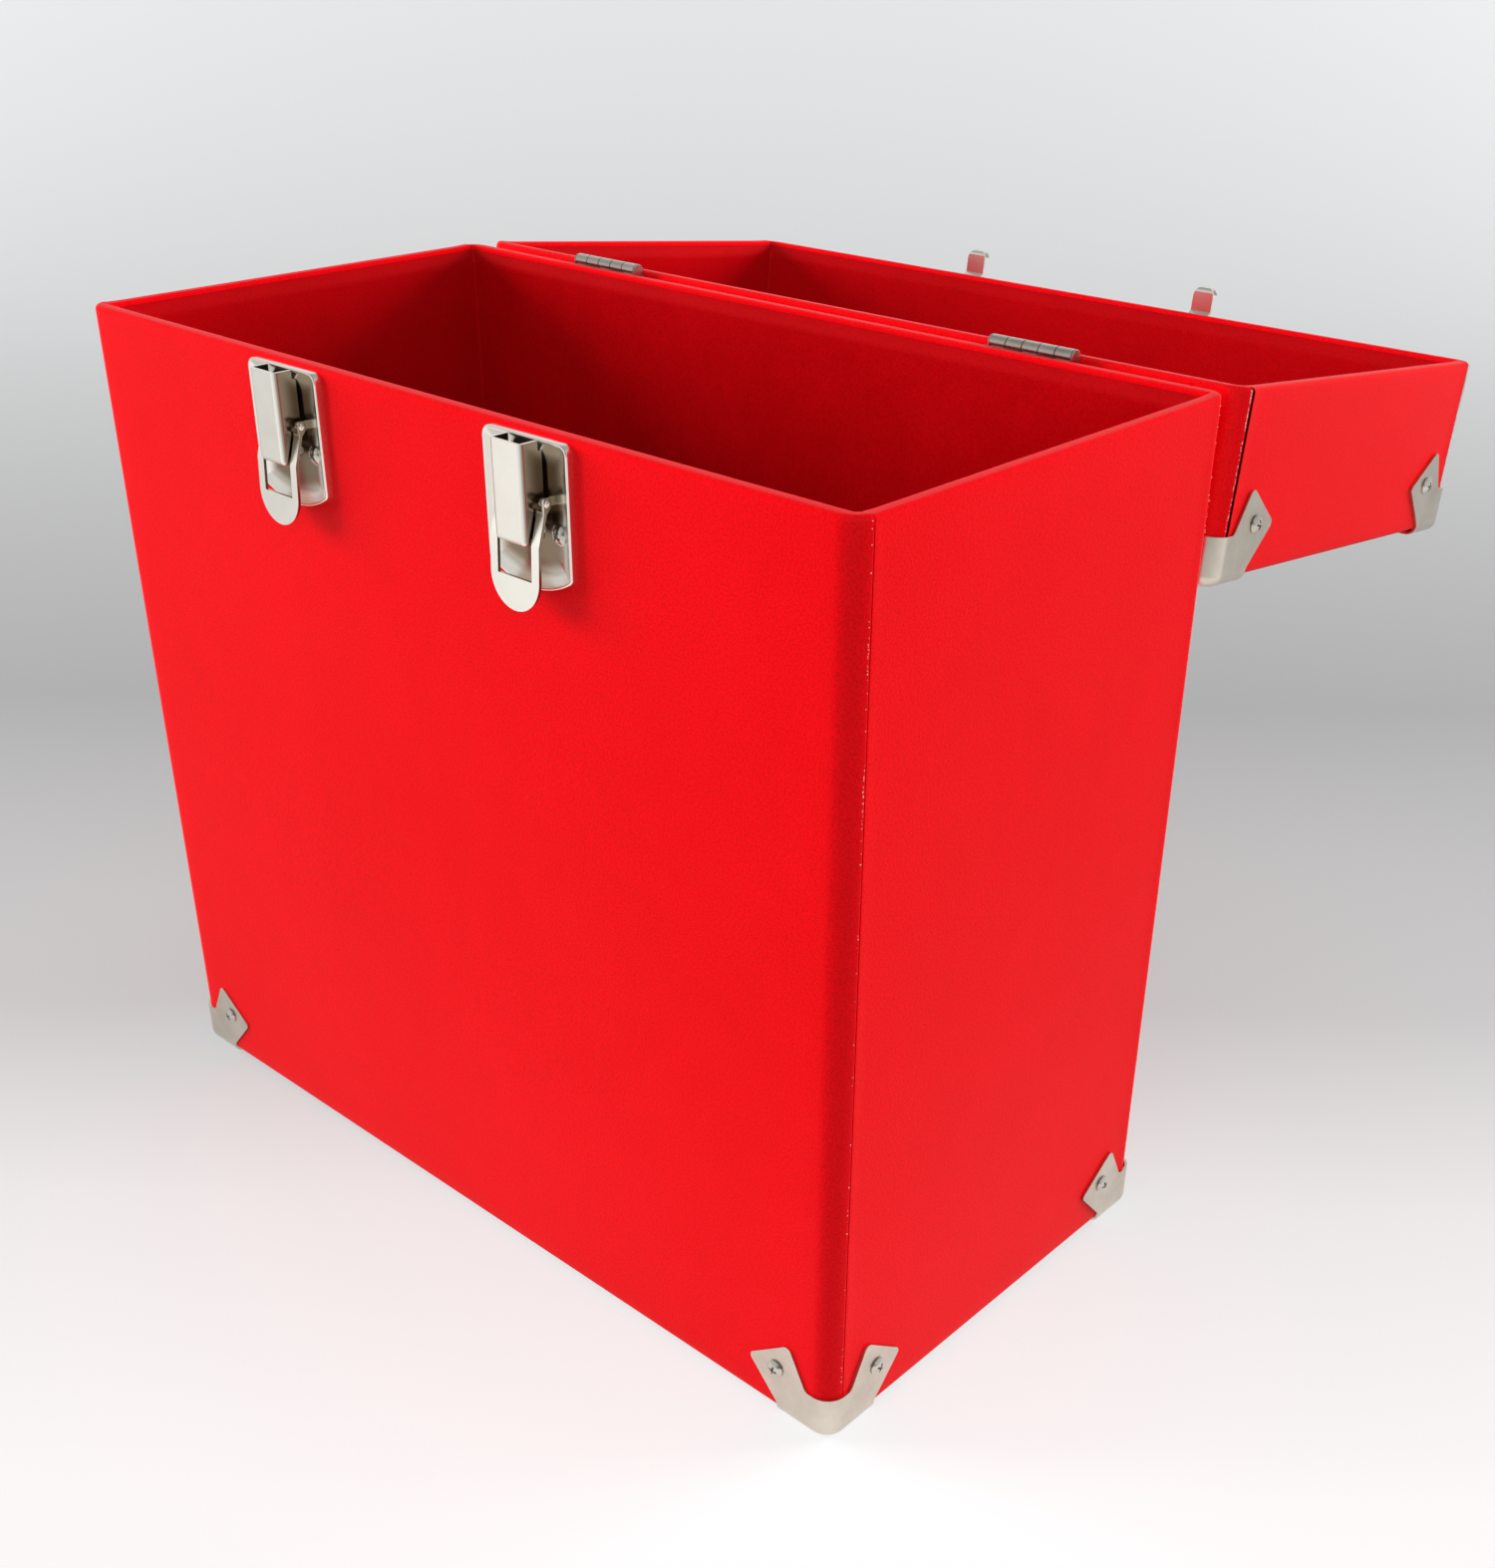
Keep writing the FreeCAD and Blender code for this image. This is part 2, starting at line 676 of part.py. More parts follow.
# Lid hook: flat base, a step out past the rim, then a cup that curls outwards
def hook():
    sheet = sheet_thickness
    cup = Vector(0, -hook_cup_out(), -hook_cup_down)
    half = hook_width / 2
    step = [
        (0, hook_base_top - hook_base_radius, 0),
        (0, hook_base_foot, 0),
        (-hook_stand, -hook_step_foot, 0),
        (-hook_stand, -hook_cup_down, 0),
        (-hook_stand - sheet, -hook_cup_down, 0),
        (-hook_stand - sheet, -hook_step_foot + sheet / 2, 0),
        (-sheet, hook_base_foot + sheet / 2, 0),
        (-sheet, hook_base_top - hook_base_radius, 0),
    ]
    tongue = rounded_face(step, Vector(-half, 0, 0), ALONG_Y, ALONG_Z).extrude(ALONG_X * hook_width)
    start = cup - ALONG_X * half
    ring = Part.makeCylinder(hook_cup_radius + sheet, hook_width, start, ALONG_X)
    ring = ring.cut(Part.makeCylinder(hook_cup_radius, hook_width, start, ALONG_X))
    big = hook_cup_radius + sheet + overrun
    lower = box(Vector(-half, cup.y - big, cup.z - big), Vector(half, cup.y + big, cup.z))
    ring = ring.common(lower)
    lip_low = Vector(-half, cup.y - hook_cup_radius - sheet, cup.z)
    lip = box(lip_low, Vector(half, cup.y - hook_cup_radius, cup.z + hook_lip))
    end = cup.z - hook_cup_radius - sheet - side_clearance
    blank = rounded_face([
        (-half, end, hook_end_radius),
        (half, end, hook_end_radius),
        (half, hook_base_top, 0),
        (-half, hook_base_top, 0),
    ], Vector(0, 0, 0), ALONG_X, ALONG_Z).extrude(-ALONG_Y * big)
    catch = tongue.fuse([ring, lip]).common(blank)
    base_half = hook_base_width / 2
    base = rounded_face([
        (-base_half, hook_base_foot + sheet, hook_base_radius),
        (base_half, hook_base_foot + sheet, hook_base_radius),
        (base_half, hook_base_top, hook_base_radius),
        (-base_half, hook_base_top, hook_base_radius),
    ], Vector(0, 0, 0), ALONG_X, ALONG_Z).extrude(-ALONG_Y * sheet)
    piece = catch.fuse(base).removeSplitter()
    holes = [pilot(place, direction) for place, direction in hook_screw_places()]
    return piece.cut(grouped(holes))


def hook_screw_places():
    places = []
    for side in (-1, 1):
        places.append((Vector(side * hook_screw_across, 0, hook_screw_up), -ALONG_Y))
    return places


# Hinge pieces are built at x = 0 with the back face at y = 0 and the hinge line at z = 0
def knuckle_spans(first):
    length = (hinge_width - (hinge_knuckles - 1) * side_clearance) / hinge_knuckles
    spans = []
    for index in range(first, hinge_knuckles, 2):
        start = -hinge_width / 2 + index * (length + side_clearance)
        spans.append((start, length))
    return spans


# One leaf, hanging down from the hinge line
def hinge_leaf(first):
    gap = hinge_knuckle_radius - sheet_thickness
    half = hinge_width / 2
    face = rounded_face([
        (-half, -hinge_leaf_reach, hinge_leaf_radius),
        (half, -hinge_leaf_reach, hinge_leaf_radius),
        (half, -gap, 0),
        (-half, -gap, 0),
    ], Vector(0, 0, 0), ALONG_X, ALONG_Z)
    leaf = face.extrude(ALONG_Y * sheet_thickness)
    rolls = []
    for start, length in knuckle_spans(first):
        axis_start = Vector(start, hinge_offset, 0)
        rolls.append(Part.makeCylinder(hinge_knuckle_radius, length, axis_start, ALONG_X))
        rolls.append(box(Vector(start, 0, -hinge_knuckle_radius),
                         Vector(start + length, hinge_offset, -gap)))
    leaf = leaf.fuse(rolls).removeSplitter()
    bore = Part.makeCylinder(hinge_pin_radius + running_clearance, 2 * hinge_width,
                             Vector(-hinge_width, hinge_offset, 0), ALONG_X)
    holes = [bore]
    for place, direction in hinge_screw_places():
        holes.append(pilot(place, direction))
    return leaf.cut(grouped(holes))


def hinge_screw_places():
    places = []
    for side in (-1, 1):
        places.append((Vector(side * hinge_screw_across, 0, -hinge_screw_reach), ALONG_Y))
    return places


def hinge_pin():
    half = hinge_width / 2 + hole_clearance
    start = Vector(-half, hinge_offset, 0)
    pin = Part.makeCylinder(hinge_pin_radius, 2 * half, start, ALONG_X)
    heads = []
    for side in (-1, 1):
        seat = Vector(side * half, hinge_offset, 0)
        heads.append(Part.makeCylinder(hinge_knuckle_radius, hinge_pin_head, seat, ALONG_X * side))
    return pin.fuse(heads).removeSplitter()


# Handle pieces are built upright with the lid's top at z = 0
def handle_bracket(side):
    half = bracket_length / 2
    wide = bracket_width / 2
    base = rounded_face([
        (-wide, -half, bracket_radius),
        (wide, -half, bracket_radius),
        (wide, half, bracket_radius),
        (-wide, half, bracket_radius),
    ], Vector(0, 0, 0), ALONG_X, ALONG_Y).extrude(ALONG_Z * sheet_thickness)
    lug_half = bracket_lug_width / 2
    lug = rounded_face([
        (-lug_half, 0, 0),
        (lug_half, 0, 0),
        (lug_half, handle_pivot_rise, 0),
        (-lug_half, handle_pivot_rise, 0),
    ], Vector(-bracket_lug_thickness / 2, 0, 0), ALONG_Y, ALONG_Z).extrude(ALONG_X * bracket_lug_thickness)
    place = Vector(-bracket_lug_thickness / 2, 0, handle_pivot_rise)
    top = Part.makeCylinder(lug_half, bracket_lug_thickness, place, ALONG_X)
    upper = box(Vector(-bracket_width, -bracket_length, 0),
                Vector(bracket_width, bracket_length, handle_pivot_rise + overrun + lug_half))
    piece = base.fuse([lug, top.common(upper)]).removeSplitter()
    bore = Part.makeCylinder(handle_rivet_radius + hole_clearance, 2 * bracket_width,
                             Vector(-bracket_width, 0, handle_pivot_rise), ALONG_X)
    piece = piece.cut(bore)
    for place, direction in bracket_screw_places():
        piece = piece.cut(pilot(place, direction))
    return moved(piece, Vector(side * handle_spacing / 2, 0, 0))


def bracket_screw_places():
    places = []
    for side in (-1, 1):
        places.append((Vector(0, side * bracket_screw_across, 0), ALONG_Z))
    return places


# Line of the strap's middle: two legs, two bends and the flat run under the hand
def strap_line(leg_foot):
    half = handle_spacing / 2 - bracket_lug_thickness / 2 - side_clearance - strap_thickness / 2
    top = handle_pivot_rise + handle_rise
    bend = handle_bend
    slant = bend * math.sqrt(0.5)
    spots = [
        Vector(-half, 0, leg_foot),
        Vector(-half, 0, top - bend),
        Vector(-half + bend - slant, 0, top - bend + slant),
        Vector(-half + bend, 0, top),
    ]
    other = [Vector(-spot.x, 0, spot.z) for spot in reversed(spots)]
    edges = [
        straight(spots[0], spots[1]),
        Part.Arc(spots[1], spots[2], spots[3]).toShape(),
        straight(spots[3], other[0]),
        Part.Arc(other[0], other[1], other[2]).toShape(),
        straight(other[2], other[3]),
    ]
    return Part.Wire(edges), spots[0]


# Steel strap bent into a bridge, its rounded feet riveted to the bracket lugs
def handle_strap():
    line, foot = strap_line(handle_pivot_rise)
    wide = strap_width / 2
    thin = strap_thickness / 2
    corners = [(-thin, -wide, 0), (thin, -wide, 0), (thin, wide, 0), (-thin, wide, 0)]
    section = rounded_face(corners, foot, ALONG_X, ALONG_Y).OuterWire
    strap = line.makePipeShell([section], True, False)
    feet = []
    for side in (-1, 1):
        start = Vector(side * -foot.x - thin, 0, handle_pivot_rise)
        feet.append(Part.makeCylinder(wide, strap_thickness, start, ALONG_X))
    strap = strap.fuse(feet).removeSplitter()
    bore = Part.makeCylinder(handle_rivet_radius + running_clearance, 2 * handle_spacing,
                             Vector(-handle_spacing, 0, handle_pivot_rise), ALONG_X)
    return strap.cut(bore)


# Padded grip round the strap, down to just above its feet
def handle_grip(strap):
    foot_height = handle_pivot_rise + grip_leg_foot
    line, foot = strap_line(foot_height)
    ring = Part.Ellipse(foot, grip_width / 2, grip_height / 2)
    section = Part.Wire([ring.toShape()])
    section.rotate(foot, ALONG_Z, 90)
    grip = line.makePipeShell([section], True, False)
    return grip.cut(strap)


def handle_rivets():
    rivets = []
    reach = bracket_lug_thickness + side_clearance + strap_thickness + 2 * hole_clearance
    for side in (-1, 1):
        outer = side * (handle_spacing / 2 + bracket_lug_thickness / 2 + hole_clearance)
        place = Vector(outer, 0, handle_pivot_rise)
        inward = ALONG_X * -side
        shank = Part.makeCylinder(handle_rivet_radius, reach, place, inward)
        head = Part.makeCylinder(handle_rivet_head_radius, handle_rivet_head_height, place, -inward)
        far = place + inward * reach
        tail = Part.makeCylinder(handle_rivet_head_radius, handle_rivet_head_height, far, inward)
        rivets.append(shank.fuse([head, tail]).removeSplitter())
    return rivets


def drilled(places, shifts):
    holes = []
    for shift in shifts:
        for place, direction in places:
            holes.append(moved(pilot(place, direction), shift))
    return holes


def set_screws(screw, places, shifts, seat):
    screws = []
    for shift in shifts:
        for place, direction in places:
            screws.append(moved(stood(screw, place + direction * seat, direction), shift))
    return screws


parts = {}


def keep(name, shape):
    parts[name] = shape


latch_sides = {"left": -latch_spacing / 2, "right": latch_spacing / 2}
hinge_sides = {"left": -hinge_spacing / 2, "right": hinge_spacing / 2}
latch_shifts = [Vector(x, front, rim_height) for x in latch_sides.values()]
hinge_shifts = [Vector(x, back, hinge_height) for x in hinge_sides.values()]
bracket_shifts = [Vector(side * handle_spacing / 2, 0, 0) for side in (-1, 1)]


def build_case():
    raise_up = Vector(0, 0, rim_height)
    corners, screws, pilots = corner_set(case_height)
    for hole in drilled(plate_screw_places(), latch_shifts):
        pilots.append(moved(hole, -raise_up))
    for hole in drilled(hinge_screw_places(), hinge_shifts):
        pilots.append(moved(hole, -raise_up))
    boards, covers, lining = tray(case_height, pilots)
    names = {"front": "front", "back": "back", "left": "left", "right": "right", "end": "bottom"}
    for side, name in names.items():
        keep("case_" + name + "_board", moved(boards[side], raise_up))
        keep("case_" + name + "_cover", moved(covers[side], raise_up))
    keep("case_lining", moved(lining, raise_up))
    for name, corner in corners.items():
        keep("case_corner_" + name, moved(corner, raise_up))
    keep("case_corner_screws", moved(grouped(screws), raise_up))


def build_lid():
    raise_up = Vector(0, 0, rim_height + rim_gap)
    corners, screws, pilots = corner_set(lid_height)
    pilots = [mirrored(hole, ALONG_Z) for hole in pilots]
    for hole in drilled(hook_screw_places(), latch_shifts):
        pilots.append(moved(hole, -raise_up))
    for hole in drilled(hinge_screw_places(), hinge_shifts):
        pilots.append(moved(flipped_leaf(hole), -raise_up))
    for hole in drilled(bracket_screw_places(), bracket_shifts):
        pilots.append(moved(hole, Vector(0, 0, lid_height)))
    boards, covers, lining = tray(lid_height, [mirrored(hole, ALONG_Z) for hole in pilots])
    names = {"front": "front", "back": "back", "left": "left", "right": "right", "end": "top"}
    for side, name in names.items():
        keep("lid_" + name + "_board", lid_piece(boards[side], raise_up))
        keep("lid_" + name + "_cover", lid_piece(covers[side], raise_up))
    keep("lid_lining", lid_piece(lining, raise_up))
    for name, corner in corners.items():
        keep("lid_corner_" + name, lid_piece(corner, raise_up))
    keep("lid_corner_screws", lid_piece(grouped(screws), raise_up))


# Turns a tray piece over into the lid, then opens it
def lid_piece(shape, shift):
    return opened(moved(mirrored(shape, ALONG_Z), shift))


# Mirrors a piece of the hinge about the hinge line's height
def flipped_leaf(shape):
    level = Vector(0, 0, hinge_height)
    return moved(mirrored(moved(shape, -level), ALONG_Z), level)


def build_latches():
    plate = latch_plate()
    arm = lever()
    channel = claw()
    pin = claw_pin()
    catch = hook()
    rivets = []
    for side, x in latch_sides.items():
        shift = Vector(x, front, rim_height)
        keep("latch_plate_" + side, moved(plate, shift))
        keep("latch_lever_" + side, moved(arm, shift))
        keep("latch_claw_" + side, moved(channel, shift))
        keep("claw_pin_" + side, moved(pin, shift))
        keep("lid_hook_" + side, opened(moved(catch, shift)))
        rivets += [moved(rivet, shift) for rivet in lever_rivets()]
    keep("lever_rivets", grouped(rivets))
    screw = pan_screw(sheet_thickness)
    plate_screws = set_screws(screw, plate_screw_places(), latch_shifts, sheet_thickness)
    hook_screws = set_screws(leaf_screw(), hook_screw_places(), latch_shifts, sheet_thickness)
    keep("latch_plate_screws", grouped(plate_screws))
    keep("lid_hook_screws", opened(grouped(hook_screws)))


def build_hinges():
    lower = hinge_leaf(0)
    upper = mirrored(hinge_leaf(1), ALONG_Z)
    pins = []
    for side, x in hinge_sides.items():
        shift = Vector(x, back, hinge_height)
        keep("hinge_case_leaf_" + side, moved(lower, shift))
        keep("hinge_lid_leaf_" + side, opened(moved(upper, shift)))
        pins.append(moved(hinge_pin(), shift))
    keep("hinge_pins", grouped(pins))
    screws = set_screws(leaf_screw(), hinge_screw_places(), hinge_shifts, sheet_thickness)
    keep("hinge_case_screws", grouped(screws))
    keep("hinge_lid_screws", opened(flipped_leaf(grouped(screws))))


def build_handle():
    level = Vector(0, 0, lid_top)
    pivot = Vector(0, 0, handle_pivot_rise)
    for side, name in ((-1, "left"), (1, "right")):
        keep("handle_bracket_" + name, opened(moved(handle_bracket(side), level)))
    screws = set_screws(pan_screw(sheet_thickness), bracket_screw_places(), bracket_shifts,
                        sheet_thickness)
    keep("handle_bracket_screws", opened(moved(grouped(screws), level)))
    keep("handle_rivets", opened(moved(grouped(handle_rivets()), level)))
    strap = handle_strap()
    grip = handle_grip(strap)
    for name, shape in (("handle_strap", strap), ("handle_grip", grip)):
        hanging = turned(shape, pivot, ALONG_X, lid_lean)
        keep(name, opened(moved(hanging, level)))


def place_text(place):
    return "[%.6f, %.6f, %.6f]" % (place.x / 1000, place.y / 1000, place.z / 1000)


# The places that the record of joints and mounts needs, in metres
def report_places():
    print("lid_hinge", place_text(hinge_place), "range", [0, round(lid_open_angle, 4)])
    for side, x in latch_sides.items():
        pivot = Vector(x, front - lever_pivot_out, rim_height - lever_pivot_down)
        print("lever", side, place_text(pivot), "range", [0, lever_swing])
        pin = Vector(x, front - claw_pivot_out, rim_height - claw_pivot_down)
        print("claw", side, place_text(pin), "range", [-lever_swing, 0])
    handle = Part.Vertex(Vector(0, 0, lid_top + handle_pivot_rise))
    swing = [round(-lid_lean - handle_swing, 4), round(handle_swing - lid_lean, 4)]
    print("handle", place_text(opened(handle).Point), "range", swing)
    print("bay", round(bay_width, 3), round(bay_depth, 3), "rim", rim_height, "lid top", lid_top)


build_case()
build_lid()
build_latches()
build_hinges()
build_handle()
os.makedirs("parts", exist_ok=True)
for name, shape in parts.items():
    shape.exportStep("parts/" + name + ".step")
    print(name, len(shape.Solids), round(shape.Volume, 1), shape.isValid())
report_places()
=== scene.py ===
import json
from functools import partial
from math import asin, atan2, copysign, cos, pi, radians, sin, sqrt, tau

import bmesh
import bpy
from mathutils import Matrix, Vector, noise

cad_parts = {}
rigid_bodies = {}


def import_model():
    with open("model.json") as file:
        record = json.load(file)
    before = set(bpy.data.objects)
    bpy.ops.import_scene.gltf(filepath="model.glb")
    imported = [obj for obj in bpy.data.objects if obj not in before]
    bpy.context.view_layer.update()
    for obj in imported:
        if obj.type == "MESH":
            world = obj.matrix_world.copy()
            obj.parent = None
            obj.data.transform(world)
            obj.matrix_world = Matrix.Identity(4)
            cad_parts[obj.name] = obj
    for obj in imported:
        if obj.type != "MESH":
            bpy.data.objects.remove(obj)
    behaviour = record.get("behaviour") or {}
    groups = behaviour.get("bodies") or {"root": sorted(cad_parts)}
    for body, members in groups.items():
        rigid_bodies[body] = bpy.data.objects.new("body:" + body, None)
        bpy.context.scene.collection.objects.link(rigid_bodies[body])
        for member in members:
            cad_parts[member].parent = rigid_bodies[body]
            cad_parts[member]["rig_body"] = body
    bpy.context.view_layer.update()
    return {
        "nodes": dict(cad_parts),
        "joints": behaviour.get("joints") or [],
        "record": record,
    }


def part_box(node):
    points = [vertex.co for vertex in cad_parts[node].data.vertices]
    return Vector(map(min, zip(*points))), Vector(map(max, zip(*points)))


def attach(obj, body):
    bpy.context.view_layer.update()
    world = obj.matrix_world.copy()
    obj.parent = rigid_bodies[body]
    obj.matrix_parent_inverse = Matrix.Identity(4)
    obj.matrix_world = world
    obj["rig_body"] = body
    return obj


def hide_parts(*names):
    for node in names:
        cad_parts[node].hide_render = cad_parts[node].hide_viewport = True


mm = 0.001
bothSides = (-1, 1)
uprights = ((1, -1), (-1, -1), (-1, 1), (1, 1))

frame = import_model()
nodes = frame["nodes"]

# The lid is modelled shut, then turned back about the hinge as the frame's rest pose has it
lidHinge = next(joint for joint in frame["joints"] if joint["name"] == "lid_hinge")
hingePlace = Vector(lidHinge["pos_m"])
lidAngle = radians(lidHinge["range_deg"][1])
lidTurn = Matrix.Rotation(-lidAngle, 4, "X")
openLid = Matrix.Translation(hingePlace) @ lidTurn @ Matrix.Translation(-hingePlace)


# Colours, nodes and small helpers

def hexToLinear(text):
    channels = [int(text[i:i + 2], 16) / 255 for i in (1, 3, 5)]
    return (*(c / 12.92 if c <= 0.04045 else ((c + 0.055) / 1.055) ** 2.4 for c in channels), 1.0)


# Sockets share names between data types, so the one in use is taken; without a name, the first in use
def liveSocket(sockets, key=None):
    if isinstance(key, int):
        return sockets[key]
    return next(socket for socket in sockets if socket.enabled and key in (None, socket.name))


# Each source is a socket, or a node that gives its first output
def join(tree, node, links):
    for key, source in links.items():
        socket = liveSocket(source.outputs) if isinstance(source, bpy.types.Node) else source
        tree.links.new(socket, liveSocket(node.inputs, key))


def addNode(tree, kind, links=None, values=None, **settings):
    node = tree.nodes.new(kind)
    for name, value in settings.items():
        setattr(node, name, value)
    for key, value in (values or {}).items():
        liveSocket(node.inputs, key).default_value = value
    join(tree, node, links or {})
    return node


# A material's tree starts with its place and ends with its shader
def newMaterial(name):
    material = bpy.data.materials.new(name)
    material.use_nodes = True
    material.node_tree.nodes.clear()
    add = partial(addNode, material.node_tree)
    return material, add, add("ShaderNodeTexCoord").outputs["Object"]


def endMaterial(add, values, links):
    shader = add("ShaderNodeBsdfPrincipled", links, values)
    add("ShaderNodeOutputMaterial", {"Surface": shader})


# Values of a map from one span to another
def spans(source, target=(0.0, 1.0)):
    return dict(zip(("From Min", "From Max", "To Min", "To Max"), (*source, *target)))


def setStops(ramp, places, colours):
    for _ in places[2:]:
        ramp.elements.new(0.5)
    for element, place, colour in zip(ramp.elements, places, colours):
        element.position = place
        element.color = hexToLinear(colour) if isinstance(colour, str) else colour


def clamped(value):
    return min(max(value, 0.0), 1.0)


def stepsTo(end, count):
    return [end * i / count for i in range(count + 1)]


def spaced(start, end, step):
    count = max(1, round(abs(end - start) / step))
    return [start + part for part in stepsTo(end - start, count)]


# Vinyl leatherette: calendered with a fine wrinkled grain, satin, in soft tones. Its layers are clouds,
# mottling, grain and pores, each with a size in millimetres and a detail. The grain is really about 0.4 mm
leatheretteLook = {
    "layers": [("FBM", 120, 3.0), ("FBM", 14, 4.0), ("RIDGED_MULTIFRACTAL", 0.9, 2.0), ("FBM", 0.7, 2.0)],
    "mottleShare": 0.4,
    "toneSpan": (0.5, 0.9),
    "poreSpan": (0.35, 0.6),
    "poreShade": (0.82, 1.0),
    "relief": 0.5,
    "grainDepth": 0.16 * mm,
    "rippleDepth": 0.10 * mm,
    "rough": (0.38, 0.52),
    "gloss": 0.1,
    # The seam colour is painted shadow of the groove between the covers, with some glue
    "paintedSeamShadow": "#30060A",
}


def makeLeatherette(name, base, deep):
    look = leatheretteLook
    material, add, place = newMaterial("leatherette_red_" + name)
    cloud, mottle, grain, pore = [
        add("ShaderNodeTexNoise", {"Vector": place}, {"Scale": 1000 / size, "Detail": detail},
            noise_type=kind)
        for kind, size, detail in look["layers"]]
    both = add("ShaderNodeMath", {0: mottle, 2: cloud}, {1: look["mottleShare"]}, operation="MULTIPLY_ADD")
    tone = add("ShaderNodeValToRGB", {"Fac": both})
    setStops(tone.color_ramp, look["toneSpan"], (deep, base))
    dark = add("ShaderNodeMapRange", {"Value": pore}, spans(look["poreSpan"], look["poreShade"]))
    shaded = add("ShaderNodeVectorMath", {0: tone, "Scale": dark}, operation="SCALE")
    # Painted shadow, with a little glue, darkens a seam's groove where the mesh carries a seam value
    seam = add("ShaderNodeAttribute", attribute_name="seam").outputs["Fac"]
    seamShadowed = add("ShaderNodeMixRGB", {"Fac": seam, "Color1": shaded},
                 {"Color2": hexToLinear(look["paintedSeamShadow"])})
    rough = add("ShaderNodeMapRange", {"Value": pore}, spans((0.0, 1.0), look["rough"]))
    ripple = add("ShaderNodeBump", {"Height": mottle},
                 {"Strength": look["relief"], "Distance": look["rippleDepth"]})
    bump = add("ShaderNodeBump", {"Height": grain, "Normal": ripple},
               {"Strength": look["relief"], "Distance": look["grainDepth"]})
    endMaterial(add, {"IOR": 1.5, "Specular IOR Level": look["gloss"]},
                {"Base Color": seamShadowed, "Roughness": rough, "Normal": bump})
    return material


# Nickel plate on pressed steel: a warm grey metal with faint drawing lines and rub marks
nickelLook = {
    "stretch": (1, 1, 0.12),
    "lineDetail": 4.0,
    "smudge": {"Scale": 1000 / 18, "Detail": 5.0, "Roughness": 0.65},
    "toneSpan": (0.35, 0.62),
    "roughSpan": (0.3, 0.7),
    "relief": 0.4,
    # Colour of the painted shade on the latch's sides and the plate's floor
    "paintedShadeColour": "#8A7864",
}


def makeNickel(name, colour, shade, roughs, lineMm, depthMm):
    look = nickelLook
    material, add, place = newMaterial("nickel_plate_" + name)
    stretch = add("ShaderNodeMapping", {"Vector": place}, {"Scale": look["stretch"]})
    lines = add("ShaderNodeTexNoise", {"Vector": stretch},
                {"Scale": 1000 / lineMm, "Detail": look["lineDetail"]})
    smudge = add("ShaderNodeTexNoise", {"Vector": place}, look["smudge"])
    tone = add("ShaderNodeValToRGB", {"Fac": smudge})
    setStops(tone.color_ramp, look["toneSpan"], (shade, colour))
    # Painted shade and dark reflection darken the metal where the mesh says: the latch's sides and the
    # plate's floor
    shadeMask = add("ShaderNodeAttribute", attribute_name="shadeMask").outputs["Fac"]
    shadeDarkened = add("ShaderNodeMixRGB", {"Fac": shadeMask, "Color1": tone}, {"Color2": hexToLinear(look["paintedShadeColour"])})
    rough = add("ShaderNodeMapRange", {"Value": smudge}, spans(look["roughSpan"], roughs))
    bump = add("ShaderNodeBump", {"Height": lines}, {"Strength": look["relief"], "Distance": depthMm * mm})
    endMaterial(add, {"Metallic": 1.0}, {"Base Color": shadeDarkened, "Roughness": rough, "Normal": bump})
    return material


# Fibres change in tone and relief along their run, in long grain or in the twist of a matt yarn
def makeFibre(name, deep, base, scale, stretch, detail, toneSpan, rough, depth):
    material, add, place = newMaterial(name)
    along = add("ShaderNodeMapping", {"Vector": place}, {"Scale": (1, 1, stretch)})
    fibre = add("ShaderNodeTexNoise", {"Vector": along}, {"Scale": scale, "Detail": detail})
    tone = add("ShaderNodeValToRGB", {"Fac": fibre})
    setStops(tone.color_ramp, toneSpan, (deep, base))
    bump = add("ShaderNodeBump", {"Height": fibre}, {"Strength": 0.5, "Distance": depth})
    endMaterial(add, {"Roughness": rough}, {"Base Color": tone, "Normal": bump})
    return material


slotLooks = {
    "leatherette_red": makeLeatherette("satin", "#FC0412", "#F4020C"),
    # The lining is a darker copy of the cover's red: painted shade for the inside of the box and lid
    "lining_red": makeLeatherette("lining", "#C8040E", "#B80208"),
    "grip_red": makeLeatherette("grip", "#EE0C1A", "#DC0814"),
    # Birch plywood under the cover: pale wood with long grain
    "board": makeFibre("plywood_raw", "#B08A5C", "#D8BC8E", scale=60.0, stretch=12, detail=6.0,
                       toneSpan=(0.3, 0.7), rough=0.7, depth=0.0),
    "corner_nickel": makeNickel("satin", "#DCD3C5", "#CAC0B1", (0.26, 0.34), 0.5, 0.008),
    "latch_nickel": makeNickel("bright", "#F6F2E8", "#F0EBE0", (0.2, 0.25), 0.5, 0.004),
    "fitting_nickel": makeNickel("fitting", "#CBC5BB", "#B5AEA4", (0.22, 0.32), 0.5, 0.02),
    "screw_nickel": makeNickel("screw", "#D6D1C8", "#C5BFB5", (0.12, 0.2), 0.4, 0.01),
    "strap_steel": makeNickel("strap", "#C8C2B8", "#B2ABA1", (0.24, 0.34), 0.5, 0.02),
}
# Cut backing cloth that shows in specks along the seams, and the grip's sewing thread
yarn = {"stretch": 1, "detail": 2.0, "toneSpan": (0.35, 0.65), "rough": 0.8, "depth": 0.05 * mm}
backingCotton = makeFibre("backing_cotton_raw", "#E8C8BE", "#F6E4DC", 1000 / 0.3, **yarn)
threadPolyester = makeFibre("thread_polyester_red", "#A00812", "#D2121E", 1000 / 0.35, **yarn)

slotOf = {part["node"]: part["material_slot"] for part in frame["record"]["subparts"]}
for name, node in nodes.items():
    node.data.materials.clear()
    node.data.materials.append(slotLooks[slotOf[name]])
print("materials made")


# Pieces in mesh code

def newObject(name, data):
    item = bpy.data.objects.new(name, data)
    bpy.context.scene.collection.objects.link(item)
    return item


def addPiece(name, mesh, body, slotName, replaced=(), finish=None):
    mesh.materials.clear()
    mesh.materials.append(finish or slotLooks[slotName])
    piece = newObject(name, mesh)
    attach(piece, body)
    if replaced:
        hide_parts(*replaced)
    return piece


